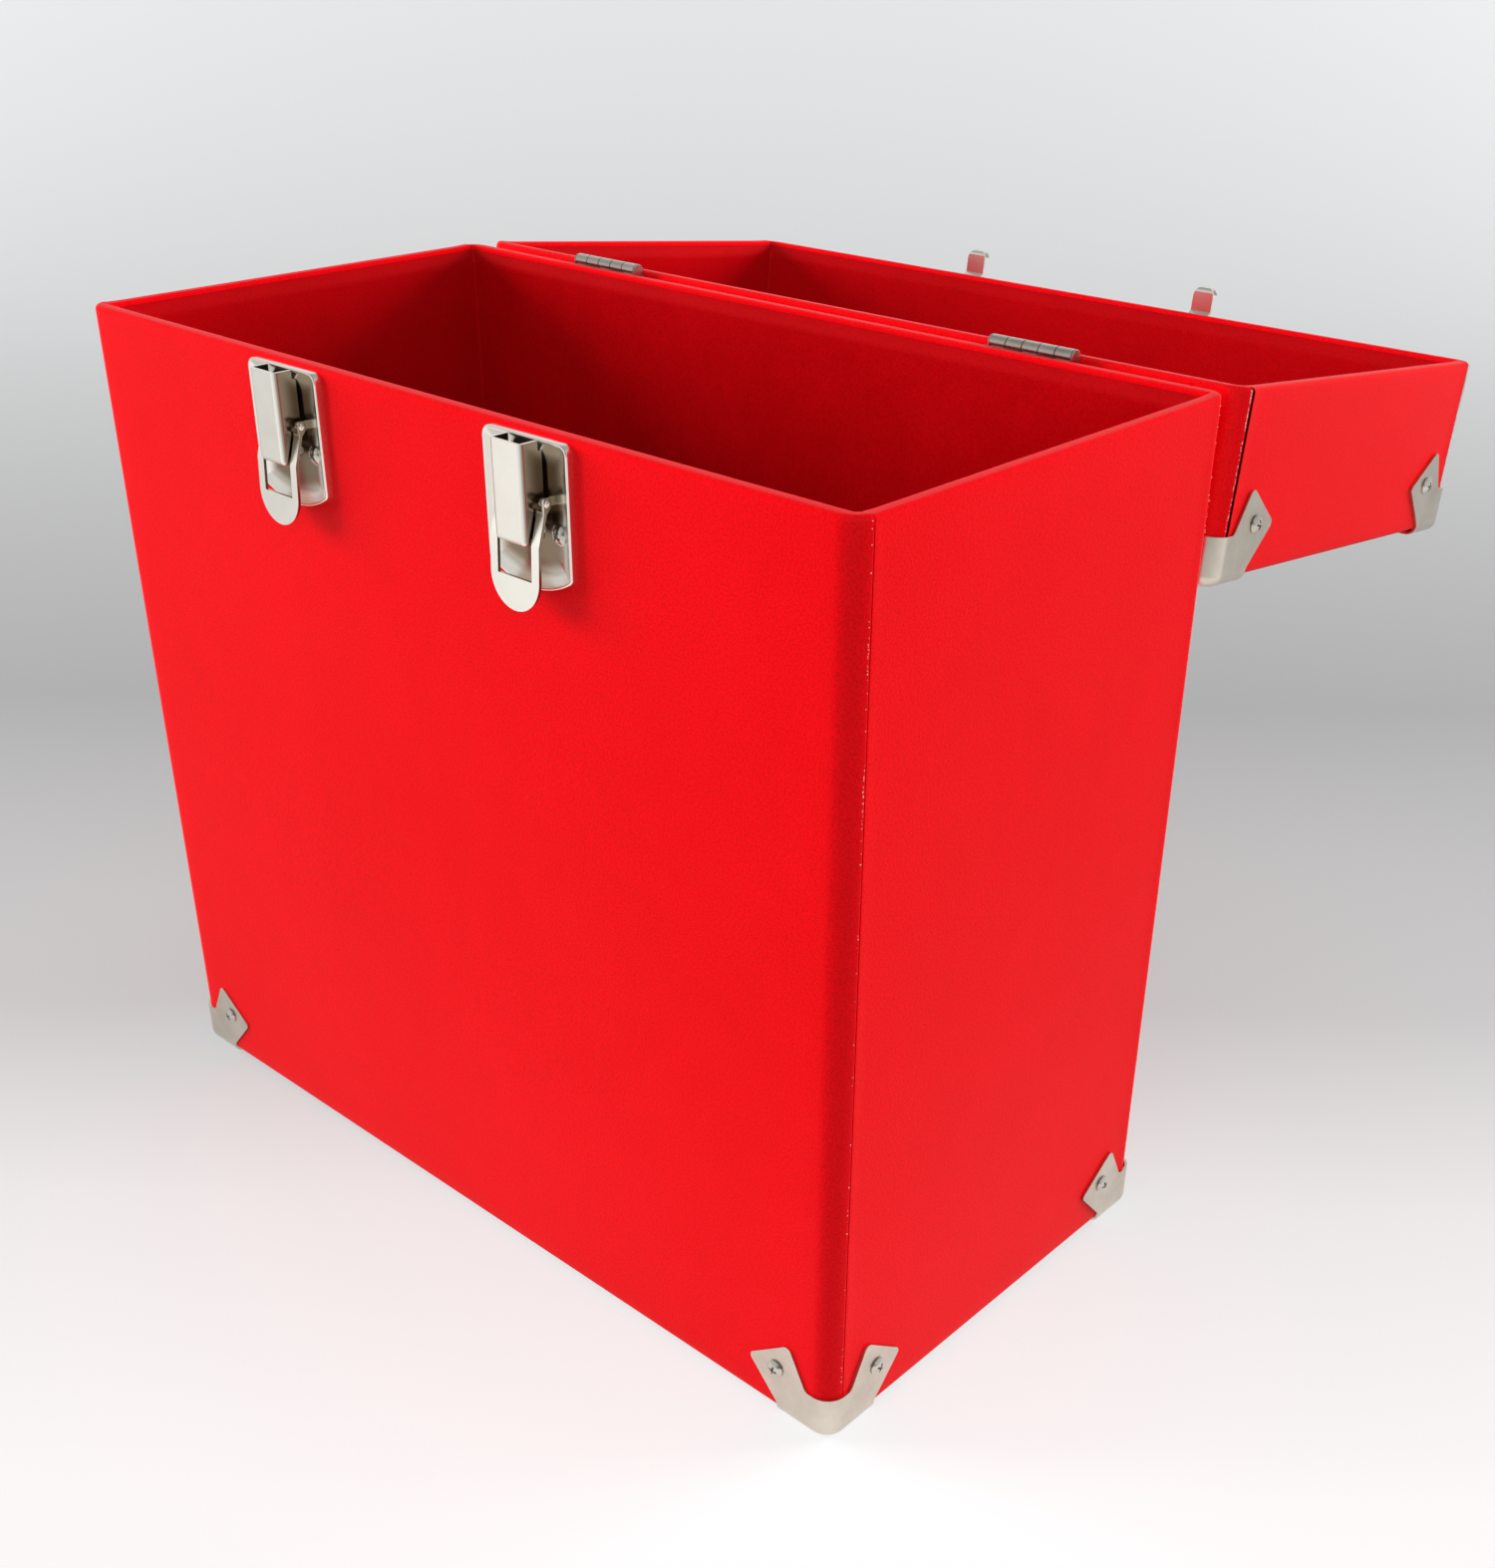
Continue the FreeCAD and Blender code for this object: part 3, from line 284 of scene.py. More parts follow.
# A plain mesh with modifiers applied; inputs are the last one's, by identifier
def bakedMesh(mesh, name, modifiers, inputs=None):
    holder = newObject("holder", mesh)
    for kind, settings in modifiers:
        modifier = holder.modifiers.new(kind, kind)
        for key, value in settings.items():
            setattr(modifier, key, value)
    for key, value in (inputs or {}).items():
        modifier[key] = value
    bpy.context.view_layer.update()
    graph = bpy.context.evaluated_depsgraph_get()
    mesh = bpy.data.meshes.new_from_object(holder.evaluated_get(graph))
    mesh.name = name
    bpy.data.objects.remove(holder)
    return mesh


def newMesh(name, points, edges=(), faces=()):
    mesh = bpy.data.meshes.new(name)
    mesh.from_pydata(points, edges, faces)
    return mesh


def setFloats(mesh, name, values):
    mesh.attributes.new(name, "FLOAT", "POINT").data.foreach_set("value", values)


def reworked(mesh, step):
    form = bmesh.new()
    form.from_mesh(mesh)
    step(form)
    form.to_mesh(mesh)
    form.free()
    return mesh


def facedOut(mesh):
    return reworked(mesh, lambda form: bmesh.ops.recalc_face_normals(form, faces=form.faces))


# Smooth faces, with creases where the surface turns by more than an angle
def creased(mesh, degrees):
    def crease(form):
        for edge in form.edges:
            edge.smooth = len(edge.link_faces) == 2 and edge.calc_face_angle() < radians(degrees)

    mesh.shade_smooth()
    return reworked(mesh, crease)


def gridFaces(columns, rows, closed=False):
    faces = []
    for i in range(columns if closed else columns - 1):
        for j in range(rows - 1):
            a, b = i * rows + j, (i + 1) % columns * rows + j
            faces.append((a, b, b + 1, a + 1))
    return faces


# Closed skins over stacks of rings; a ring of one point is a pole, and any other end gets a cap
def skinMesh(name, *stacks):
    points, faces = [], []
    for rings in stacks:
        spots = []
        for ring in rings:
            spots.append(range(len(points), len(points) + len(ring)))
            points += ring
        count = max(len(ring) for ring in rings)
        for lower, upper in zip(spots, spots[1:]):
            for i in range(count):
                j = (i + 1) % count
                corners = (lower[i % len(lower)], lower[j % len(lower)], upper[j % len(upper)],
                           upper[i % len(upper)])
                faces.append(tuple(dict.fromkeys(corners)))
        faces += [tuple(ring) for ring in (spots[0], spots[-1]) if len(ring) > 1]
    return facedOut(newMesh(name, points, (), faces))


# Shell of revolution about Z through points given as radius and height in millimetres
def latheMesh(name, profile, segments=40):
    turns = stepsTo(tau, segments)[:-1]
    return skinMesh(name, [[Vector((radius * cos(turn), radius * sin(turn), height)) * mm
                            for turn in (turns if radius else turns[:1])] for radius, height in profile])


# Geometry Nodes trees for what repeats

def newTree(name, sockets):
    tree = bpy.data.node_groups.new(name, "GeometryNodeTree")
    sockets = {"Geometry": ("Geometry", None), "Item": ("Object", None), "Finish": ("Material", None),
               "Seed": ("Int", 1), **sockets}
    for label, (kind, value) in sockets.items():
        socket = tree.interface.new_socket(label, in_out="INPUT", socket_type="NodeSocket" + kind)
        if value is not None:
            socket.default_value = value
    tree.interface.new_socket("Geometry", in_out="OUTPUT", socket_type="NodeSocketGeometry")
    add = partial(addNode, tree)
    return tree, add, add("NodeGroupInput").outputs


# Places the item on the points, rolled about its own way, and ends the tree in real geometry
def endTree(add, given, points, way, roll, more=None):
    item = add("GeometryNodeObjectInfo", {"Object": given["Item"]}).outputs["Geometry"]
    turned = add("FunctionNodeRotateRotation", {"Rotation": way, "Rotate By": roll}, rotation_space="LOCAL")
    placed = add("GeometryNodeInstanceOnPoints",
                 {"Points": points, "Instance": item, "Rotation": turned, **(more or {})})
    real = add("GeometryNodeRealizeInstances", {"Geometry": placed})
    finished = add("GeometryNodeSetMaterial", {"Geometry": real, "Material": given["Finish"]})
    add("NodeGroupOutput", {"Geometry": finished})


# A draw between Min and Max, which are plain values or linked
def randomDraw(add, given, kind, seedStep, values, links=None):
    seed = add("ShaderNodeMath", {0: given["Seed"]}, {1: float(seedStep)}, operation="ADD")
    return add("FunctionNodeRandomValue", {"Seed": seed, **(links or {})}, values, data_type=kind)


# Fasteners stand on points along each point's own direction, each turned by chance
def makeSeatTree():
    tree, add, given = newTree("seat_fasteners", {"Turn": ("Float", tau)})
    facing = add("GeometryNodeInputNamedAttribute", None, {"Name": "facing"}, data_type="FLOAT_VECTOR")
    aligned = add("FunctionNodeAlignRotationToVector", {"Vector": facing}, axis="Z")
    turn = randomDraw(add, given, "FLOAT", 0, {"Min": 0.0}, {"Max": given["Turn"]})
    spin = add("FunctionNodeAxisAngleToRotation", {"Angle": turn}, {"Axis": (0, 0, 1)})
    endTree(add, given, given["Geometry"], aligned, spin)
    return tree


# Items follow lines at a pitch; some are left out by chance and in drifts, the rest vary in size
def makeTrailTree():
    tree, add, given = newTree("trail_along_lines", {
        "Pitch": ("Float", mm), "Stray": ("Float", 0.0), "Drift": ("Float", 10 * mm), "Cover": ("Float", 1.0),
        "Smallest": ("Float", 1.0), "Tumble": ("Float", 0.0)})

    def randomWay(seedStep, reach):
        way = randomDraw(add, given, "FLOAT_VECTOR", seedStep, {"Min": (-1, -1, -1), "Max": (1, 1, 1)})
        return add("ShaderNodeVectorMath", {0: way, "Scale": given[reach]}, operation="SCALE")

    curve = add("GeometryNodeMeshToCurve", {"Mesh": given["Geometry"]})
    points = add("GeometryNodeCurveToPoints", {"Curve": curve, "Length": given["Pitch"]}, mode="LENGTH")
    strayed = add("GeometryNodeSetPosition", {"Geometry": points, "Offset": randomWay(1, "Stray")})
    inverse = add("ShaderNodeMath", {1: given["Drift"]}, {0: 1.0}, operation="DIVIDE")
    drift = add("ShaderNodeTexNoise", {"Scale": inverse}, {"Detail": 2.0})
    wide = add("ShaderNodeMapRange", {"Value": drift}, spans((0.35, 0.65)))
    chance = randomDraw(add, given, "FLOAT", 2, {"Min": 0.0, "Max": 1.0})
    mixed = add("ShaderNodeMath", {0: chance, 1: wide}, operation="MULTIPLY")
    gone = add("FunctionNodeCompare", {"A": mixed, "B": given["Cover"]}, data_type="FLOAT",
               operation="GREATER_THAN")
    kept = add("GeometryNodeDeleteGeometry", {"Geometry": strayed, "Selection": gone}, domain="POINT")
    tumble = add("FunctionNodeEulerToRotation", {"Euler": randomWay(3, "Tumble")})
    size = randomDraw(add, given, "FLOAT", 4, {"Max": 1.0}, {"Min": given["Smallest"]})
    endTree(add, given, kept, points.outputs["Rotation"], tumble, {"Scale": size})
    return tree


seatTree = makeSeatTree()
trailTree = makeTrailTree()


# Runs a tree on a mesh with its inputs set by identifier, and returns the result as a plain mesh
def grownMesh(mesh, tree, item, inputs, name):
    holder = newObject("item", item)
    inputs = {"Item": holder, **inputs}
    settings = {socket.identifier: inputs[socket.name] for socket in tree.interface.items_tree
                if socket.in_out == "INPUT" and socket.name in inputs}
    mesh = bakedMesh(mesh, name, [("NODES", {"node_group": tree})], settings)
    bpy.data.objects.remove(holder)
    return mesh


def lineMesh(lines):
    points, edges = [], []
    for line in lines:
        edges += [(len(points) + i, len(points) + i + 1) for i in range(len(line) - 1)]
        points += line
    return newMesh("lines", points, edges)


# Points that carry the way a fastener faces
def seatMesh(seats):
    mesh = newMesh("seats", [place for place, facing in seats])
    attribute = mesh.attributes.new("facing", "FLOAT_VECTOR", "POINT")
    for i, (place, facing) in enumerate(seats):
        attribute.data[i].vector = facing
    return mesh


# Box body and lid share one tray: a plan with rounded corners, a depth measured from the rim
trayShape = {
    "lidHeight": 60 * mm,
    "lidGap": 0.4 * mm,
    "uprightRadius": 7.5 * mm,
    "innerRadius": 0.9 * mm,
    "endRadius": 2.0 * mm,
    "rimRadius": 1.4 * mm,
    "innerRimRadius": 0.9 * mm,
    "wall": 4.35 * mm,
    "hem": 6 * mm,
    "hemProud": 0.3 * mm,
    "underTurn": 6 * mm,
    "sheet": 0.34 * mm,
    "liningSheet": 0.3 * mm,
    "liningFold": 1.6 * mm,
    "liningTop": 1.6 * mm,
    "liningProud": 0.18 * mm,
    "step": 6 * mm,
    "arcSteps": 5,
    "waveHeight": 0.16 * mm,
    "waveLength": 70 * mm,
    "waveFade": 30 * mm,
}
# The wrapped covers end in a seam on the side faces, tucked under the side panel's turned edge
seamShape = {
    "inset": 6 * mm,
    "dip": 0.45 * mm,
    "roll": 0.25 * mm,
    "panelRoll": 0.33 * mm,
    "panelSwell": 0.2 * mm,
    "panelSwellRun": 6 * mm,
    "tuckRunsMm": (-1.8, -0.8),
    "edgeRunsMm": (-0.25, -0.18, -0.1, -0.04, 0, 0.15, 0.5, 1.2),
    "panelRunsMm": (0, 0.04, 0.12, 0.25, 0.45, 0.8, 1.4, 2.2, 3.2, 4.5, 6),
    "turnSteps": 8,
}
coverLow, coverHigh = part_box("case_front_cover")
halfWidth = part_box("case_right_cover")[1].x
halfDepth = -coverLow.y
caseRim = coverHigh.z
lidTop = caseRim + trayShape["lidGap"] + trayShape["lidHeight"]


def onCase(x, y, depth):
    return Vector((x, y, caseRim - depth))


def onLid(x, y, depth):
    return openLid @ Vector((x, y, caseRim + trayShape["lidGap"] + depth))


# Each tray's seam groove has its width and its share of painted shadow, heavier on the lid
trays = {
    "case": {"place": onCase, "height": caseRim - coverLow.z, "groove": 0.6 * mm, "seamShadowShare": 0.35},
    "lid": {"place": onLid, "height": trayShape["lidHeight"], "groove": 1.5 * mm, "seamShadowShare": 1.0},
}


# One spot of the plan: a side with a coordinate along it, or a corner with a quarter turn
def planSpot(station, offset):
    kind, first, second = station
    if kind == "x":
        return first * (halfWidth - offset), second, Vector((first, 0))
    if kind == "y":
        return second, first * (halfDepth - offset), Vector((0, first))
    radius = trayShape["uprightRadius"]
    radius += (trayShape["innerRadius"] - radius) * clamped(offset / trayShape["wall"])
    signX, signY = first
    way = Vector((cos(second) * signX, sin(second) * signY))
    return (signX * (halfWidth - offset - radius) + way.x * radius,
            signY * (halfDepth - offset - radius) + way.y * radius, way)


seamAngle = asin((trayShape["uprightRadius"] - seamShape["inset"]) / trayShape["uprightRadius"])


# A station at a run from the seam: onwards round the corner, or back along the side face
def seamStation(signX, signY, run):
    radius = trayShape["uprightRadius"]
    angle = seamAngle + run / radius
    if angle > 0:
        return "corner", (signX, signY), angle
    return "x", signX, signY * (halfDepth - radius + angle * radius)


# Each item of a cover's plan is a station, how far the sheet is lifted there, and the painted shadow of the
# seam's groove
def wrapEnd(signX, signY, groove):
    shape = seamShape
    plan = []
    runs = [run * mm - groove for run in shape["tuckRunsMm"]] + [run * mm for run in shape["edgeRunsMm"]]
    for run in runs:
        # The tucked end down in the groove gets painted shadow
        rise = clamped(1 + run / shape["roll"])
        lift = -shape["dip"] * (1 - sqrt(1 - (1 - rise) ** 2))
        plan.append((seamStation(signX, signY, groove / 2 + run), lift, 1 - rise))
    start = plan[-1][0][2]
    return plan + [(("corner", (signX, signY), start + turn), 0.0, 0.0)
                   for turn in stepsTo(pi / 2 - start, shape["turnSteps"])[1:]]


def panelEnd(signX, signY, groove):
    shape = seamShape
    plan = []
    for back in [run * mm for run in shape["panelRunsMm"]]:
        # The panel's rolled edge at the groove gets painted shadow
        edge = 1 - clamped(back / shape["roll"])
        swell = shape["panelSwell"] * (1 - back / shape["panelSwellRun"]) ** 2
        lift = swell - shape["panelRoll"] * (1 - sqrt(1 - edge ** 2))
        plan.append((seamStation(signX, signY, -groove / 2 - back), lift, edge))
    return plan


# Front or back cover: from one side face round a corner, across, and round the other
def wrappedPlan(signY, groove):
    across = halfWidth - trayShape["uprightRadius"]
    flat = [(("y", signY, x), 0.0, 0.0) for x in spaced(across, -across, trayShape["step"])[1:-1]]
    return wrapEnd(1, signY, groove) + flat + wrapEnd(-1, signY, groove)[::-1]


def sidePlan(signX, groove):
    front, back = panelEnd(signX, -1, groove), panelEnd(signX, 1, groove)
    ys = spaced(front[-1][0][2], back[-1][0][2], trayShape["step"])[1:-1]
    return front + [(("x", signX, y), 0.0, 0.0) for y in ys] + back[::-1]


# Section of a cover from under the box, up the wall, over the rim and down into the hem
def coverSection(height):
    shape = trayShape
    end, rim, inner = shape["endRadius"], shape["rimRadius"], shape["innerRimRadius"]
    inside = shape["wall"] + shape["hemProud"]
    turns = stepsTo(pi / 2, shape["arcSteps"])
    section = [(shape["underTurn"], height), ((shape["underTurn"] + end) / 2, height)]
    section += [(end - end * sin(turn), height - end + end * cos(turn)) for turn in turns]
    section += [(0, depth) for depth in spaced(height - end, rim, shape["step"])[1:]]
    section += [(rim - rim * cos(turn), rim - rim * sin(turn)) for turn in turns[1:]]
    section += [(inside - inner + inner * sin(turn), inner - inner * cos(turn)) for turn in turns]
    return section + [(inside, shape["hem"] / 2), (inside, shape["hem"])]


def sectionNormals(section):
    ends = [section[0], *section, section[-1]]
    runs = [(Vector(after) - Vector(before)).normalized() for before, after in zip(ends, ends[2:])]
    return [Vector((run.y, -run.x)) for run in runs]


# Glued sheet follows the board with slight long waves that die out towards its edges
def waveLift(x, y, depth, height):
    shape = trayShape
    room = min(depth, height - depth, max(halfWidth - abs(x), halfDepth - abs(y)))
    seed = Vector((x, y, depth)) / shape["waveLength"]
    return shape["waveHeight"] * clamped(room / shape["waveFade"]) * noise.noise(seed)


# A flat sheet gets its thickness inwards, with its face turned the way given
def thickened(mesh, thickness, out, name):
    if mesh.polygons[len(mesh.polygons) // 2].normal.dot(out) < 0:
        mesh.flip_normals()
    mesh = bakedMesh(mesh, name, [("SOLIDIFY", {"thickness": thickness, "offset": -1})])
    mesh.shade_smooth()
    return mesh


def makeCover(trayName, side, plan):
    tray = trays[trayName]
    section = coverSection(tray["height"])
    normals = sectionNormals(section)
    points, seamShadowLevels = [], []
    for station, lift, shade in plan:
        for (offset, depth), normal in zip(section, normals):
            x, y, way = planSpot(station, offset)
            rise = lift + (waveLift(x, y, depth, tray["height"]) if offset <= 0 else 0.0)
            x, y, way = planSpot(station, offset + normal.x * rise)
            points.append(tray["place"](x, y, depth + normal.y * rise))
            seamShadowLevels.append(shade * tray["seamShadowShare"])
    mesh = newMesh("sheet", points, (), gridFaces(len(plan), len(section)))
    # Painted shadow of the seam's groove, as the plan gives it, scaled for each tray
    setFloats(mesh, "seam", seamShadowLevels)
    # The middle face lies on the outer wall, half way along the plan
    x, y, way = planSpot(plan[len(plan) // 2][0], 0)
    middle = tray["height"] / 2
    out = tray["place"](x + way.x, y + way.y, middle) - tray["place"](x, y, middle)
    name = f"{trayName}_{side}_wrap"
    mesh = thickened(mesh, trayShape["sheet"], out, name)
    addPiece(name, mesh, trayName, "leatherette_red", [f"{trayName}_{side}_cover"])


# Lining: one open box of thin sheet below the hem, its floor drawn in ring by ring and closed
def makeLining(trayName):
    shape = trayShape
    tray = trays[trayName]
    inside, fold = shape["wall"] + shape["hemProud"] + shape["liningProud"], shape["liningFold"]
    floor = tray["height"] - shape["wall"]
    turns = stepsTo(pi / 2, shape["arcSteps"])
    section = [(inside, depth) for depth in spaced(shape["liningTop"], floor - fold, shape["step"])]
    section += [(inside + fold - fold * cos(turn), floor - fold + fold * sin(turn)) for turn in turns[1:]]
    last = halfDepth - 2 * shape["innerRadius"]
    section += [(offset, floor) for offset in spaced(inside + fold, last, 2 * shape["step"])[1:]]
    stations = []
    for signX, signY in uprights:
        stations += [("corner", (signX, signY), angle) for angle in turns[::-signX * signY]]
    points = [tray["place"](*planSpot(station, offset)[:2], depth) for station in stations
              for offset, depth in section]
    rows = len(section)
    faces = gridFaces(len(stations), rows, closed=True)
    faces.append([i * rows + rows - 1 for i in reversed(range(len(stations)))])
    mesh = facedOut(newMesh("lining", points, (), faces))
    face = mesh.polygons[len(mesh.polygons) // 2]
    inwards = tray["place"](0, 0, tray["height"] / 4) - face.center
    name = trayName + "_inner_lining"
    mesh = thickened(mesh, shape["liningSheet"], inwards, name)
    addPiece(name, mesh, trayName, "lining_red", [trayName + "_lining"])


for trayName, tray in trays.items():
    for side, makePlan, sign in (("front", wrappedPlan, -1), ("back", wrappedPlan, 1), ("left", sidePlan, -1),
                                 ("right", sidePlan, 1)):
        makeCover(trayName, side, makePlan(sign, tray["groove"]))
    makeLining(trayName)
print("covers and linings made")


# The cut edge of the wrapped cover frays: pale specks of its backing stand in the seam
fleckShape = {
    "size": 0.7 * mm,
    "girth": 0.8,
    "lumps": 0.3,
    "flatness": 0.6,
    "trail": {"Pitch": 0.45 * mm, "Stray": 0.14 * mm, "Drift": 25 * mm, "Smallest": 0.3, "Tumble": pi,
              "Seed": 7},
    "fromEdge": 0.12 * mm,
    "proud": 0.2 * mm,
    "cover": {"case": 0.08, "lid": 0.5},
    "extraLines": {"case": [], "lid": [14 * mm, 14 * mm, 26 * mm]},
}


def fleckMesh():
    look = fleckShape
    form = bmesh.new()
    bmesh.ops.create_icosphere(form, subdivisions=1, radius=look["size"] / 2)
    for vertex in form.verts:
        vertex.co *= look["girth"] + look["lumps"] * noise.noise(vertex.co / look["size"])
        vertex.co.z *= look["flatness"]
    mesh = bpy.data.meshes.new("fleck")
    form.to_mesh(mesh)
    form.free()
    return mesh


for trayName, tray in trays.items():
    look = fleckShape
    lines = []
    for signX, signY in uprights:
        station = seamStation(signX, signY, tray["groove"] / 2 + look["fromEdge"])
        x, y, way = planSpot(station, -look["proud"])
        for depth in [tray["height"] - trayShape["endRadius"]] + look["extraLines"][trayName]:
            lines.append([tray["place"](x, y, trayShape["rimRadius"] / 2), tray["place"](x, y, depth)])
    inputs = {"Finish": backingCotton, "Cover": look["cover"][trayName], **look["trail"]}
    name = trayName + "_seam_flecks"
    mesh = grownMesh(lineMesh(lines), trailTree, fleckMesh(), inputs, name)
    addPiece(name, mesh, trayName, "leatherette_red", finish=backingCotton)
print("seam flecks made")


# Pressed metal keeps the frame's shape and gets its edges rounded, as tumbled and plated steel has
edgeSizes = {
    "case_corner_front": 0.3, "case_corner_back": 0.3, "lid_corner_front": 0.3, "lid_corner_back": 0.3,
    "latch_lever": 0.25, "latch_claw": 0.2, "lid_hook_left": 0.2, "lid_hook_right": 0.2,
    "hinge_case_leaf": 0.2, "hinge_lid_leaf": 0.2, "handle_bracket_left": 0.25, "handle_bracket_right": 0.25,
    "handle_strap": 0.3, "claw_pin": 0.15, "hinge_pins": 0.3,
}
edgeLook = {"segments": 2, "degrees": 32, "mergeMm": 0.003, "flatDegrees": 0.6}
# Painted shade: the sides of the latch lever and claw are darkened, the more the further they face sideways
shadedSides = {"of": ("latch_lever", "latch_claw"), "span": (0.6, 0.9), "most": 0.9}


# Flat faces of the frame's mesh come back in one piece, without doubled points
def cleaned(form):
    bmesh.ops.remove_doubles(form, verts=form.verts, dist=edgeLook["mergeMm"] * mm)
    bmesh.ops.dissolve_limit(form, angle_limit=radians(edgeLook["flatDegrees"]), verts=form.verts,
                             edges=form.edges)


def makeDressed(nodeName, edgeMm):
    mesh = reworked(nodes[nodeName].data.copy(), cleaned)
    mesh.shade_smooth()
    name = nodeName + "_dressed"
    mesh = bakedMesh(mesh, name, [
        ("BEVEL", {"width": edgeMm * mm, "segments": edgeLook["segments"], "limit_method": "ANGLE",
                   "angle_limit": radians(edgeLook["degrees"]), "miter_outer": "MITER_ARC"}),
        ("WEIGHTED_NORMAL", {"keep_sharp": True})])
    # Painted shade on the sides that face sideways
    if nodeName.startswith(shadedSides["of"]):
        low, high = shadedSides["span"]
        setFloats(mesh, "shadeMask", [shadedSides["most"] * clamped((abs(vertex.normal.x) - low) / (high - low))
                                 for vertex in mesh.vertices])
    addPiece(name, mesh, nodes[nodeName]["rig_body"], slotOf[nodeName], [nodeName])


for start, edgeMm in edgeSizes.items():
    for nodeName in sorted(nodes):
        if nodeName.startswith(start):
            makeDressed(nodeName, edgeMm)
print("metal edges rounded")


# Latch plates: pressed trays of sheet, a crest round the outside that sweeps down to a flat floor
plateShape = {
    "topDrop": 1.0 * mm,
    "footDrop": 45 * mm,
    "footSag": 5.3 * mm,
    "topRadius": 3.2 * mm,
    "footRadius": 2.2 * mm,
    "leastRadius": 0.5 * mm,
    "wallHeight": 2.5 * mm,
    "crestRadius": 0.5 * mm,
    "crestSteps": 4,
    "brow": 1.0 * mm,
    "browSteps": 3,
    "tilt": radians(28),
    "floor": 1.1 * mm,
    "arcSteps": 6,
    "sweepSteps": 9,
    # How far up the sweep the painted shade on the plate's floor reaches
    "floorShadeRise": 0.7 * mm,
    "creaseDegrees": 40,
}


def plateRing(half, inset):
    shape = plateShape
    centre = (half ** 2 + shape["footSag"] ** 2) / (2 * shape["footSag"]) - shape["footDrop"]
    sweep = centre + shape["footDrop"] - inset
    side, top = half - inset, -shape["topDrop"] - inset
    upper = max(shape["topRadius"] - inset, shape["leastRadius"])
    lower = max(shape["footRadius"] - inset, shape["leastRadius"])
    lowerX = side - lower
    lowerZ = centre - sqrt((sweep - lower) ** 2 - lowerX ** 2)
    meet = atan2(lowerX, centre - lowerZ)
    points = [(side - upper + upper * sin(turn), top - upper + upper * cos(turn))
              for turn in stepsTo(pi / 2, shape["arcSteps"])]
    points += [(lowerX + lower * cos(turn), lowerZ - lower * sin(turn))
               for turn in stepsTo(pi / 2 - meet, shape["arcSteps"])]
    points += [(sweep * sin(meet - turn), centre - sweep * cos(meet - turn))
               for turn in stepsTo(meet, shape["arcSteps"])[1:-1]]
    return points + [(0, centre - sweep)] + [(-x, z) for x, z in reversed(points)]


# Inset and height of each ring, from the back edge over the crest down to the floor
def plateProfile():
    shape = plateShape
    wall, crest, brow = shape["wallHeight"], shape["crestRadius"], shape["brow"]
    floor, tilt = shape["floor"], shape["tilt"]
    hollow = (wall + crest - floor) / (1 - cos(tilt)) - brow
    run = crest + (brow + hollow) * sin(tilt)
    profile = [(0, 0)]
    profile += [(crest - crest * cos(turn), wall + crest * sin(turn))
                for turn in stepsTo(pi / 2, shape["crestSteps"])]
    profile += [(crest + brow * sin(turn), wall + crest - brow * (1 - cos(turn)))
                for turn in stepsTo(tilt, shape["browSteps"])[1:]]
    return profile + [(run - hollow * sin(tilt - turn), floor + hollow * (1 - cos(tilt - turn)))
                      for turn in stepsTo(tilt, shape["sweepSteps"])[1:]]


# The lever hangs between two round-topped ears on the plate
earShape = {
    "inner": 8.3 * mm,
    "outer": 9.1 * mm,
    "root": 0.9 * mm,
    "rise": 4.2 * mm,
    "radius": 1.3 * mm,
    "drop": 18 * mm,
    "steps": 10,
}


def earOutline():
    shape = earShape
    radius, drop = shape["radius"], shape["drop"]
    outline = [(radius - drop, shape["root"]), (-radius - drop, shape["root"])]
    return outline + [(-drop - radius * cos(turn), shape["rise"] + radius * sin(turn))
                      for turn in stepsTo(pi, shape["steps"])]


def makeLatchPlate(nodeName):
    shape = plateShape
    low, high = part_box(nodeName)
    middle, half = (low.x + high.x) / 2, (high.x - low.x) / 2

    def place(x, z, out):
        return Vector((middle + x, -halfDepth - out, caseRim + z))

    rings, shadeMask = [], []
    for inset, out in plateProfile():
        rings.append([place(x, z, out) for x, z in plateRing(half, inset)])
        # Painted shade on the plate's flat floor, fading out up the sweep
        depth = 1 - clamped((out - shape["floor"]) / shape["floorShadeRise"]) if inset else 0.0
        shadeMask += [depth] * len(rings[-1])
    ears = [[[place(side * earShape[face], z, out) for z, out in earOutline()] for face in ("inner", "outer")]
            for side in bothSides]
    mesh = creased(skinMesh("plate", rings, *ears), shape["creaseDegrees"])
    setFloats(mesh, "shadeMask", shadeMask + [0.0] * (len(mesh.vertices) - len(shadeMask)))
    addPiece(nodeName + "_pressed", mesh, "case", slotOf[nodeName], [nodeName])


makeLatchPlate("latch_plate_left")
makeLatchPlate("latch_plate_right")
print("latch plates pressed")


# Heads of screws and rivets, in millimetres; a crown runs to the rim, then the points below it. A cross has
# its reach and half an arm's width at the top, the same at its floor, and its depth
headShapes = {
    "pan": {"radius": 3.1, "top": 1.86, "rim": 0.55, "below": [(3.05, 0.1), (2.9, 0), (1.3, 0), (1.3, -4.2)],
            "cross": (1.8, 0.42, 0.9, 0.3, 1.15)},
    "leaf": {"radius": 2.7, "top": 0.7, "rim": 0.1, "below": [(2.65, 0), (1.2, 0), (1.2, -3.6)],
             "cross": (1.5, 0.36, 1.0, 0.28, 0.55)},
    "sunk": {"radius": 2.6, "top": 0.0, "rim": -0.08, "below": [(1.3, -1.5), (1.3, -4.2)],
             "cross": (1.5, 0.36, 0.9, 0.28, 0.8)},
    "smallRivet": {"radius": 1.2, "top": 0.5, "rim": 0.08, "below": [(1.15, 0), (0.75, 0), (0.75, -1.1)]},
    "largeRivet": {"radius": 3.0, "top": 1.2, "rim": 0.12, "below": [(2.9, 0), (1.6, 0), (1.6, -1.8)]},
}
headLook = {"crownSteps": 6, "crossLift": 0.4, "creaseDegrees": 35}


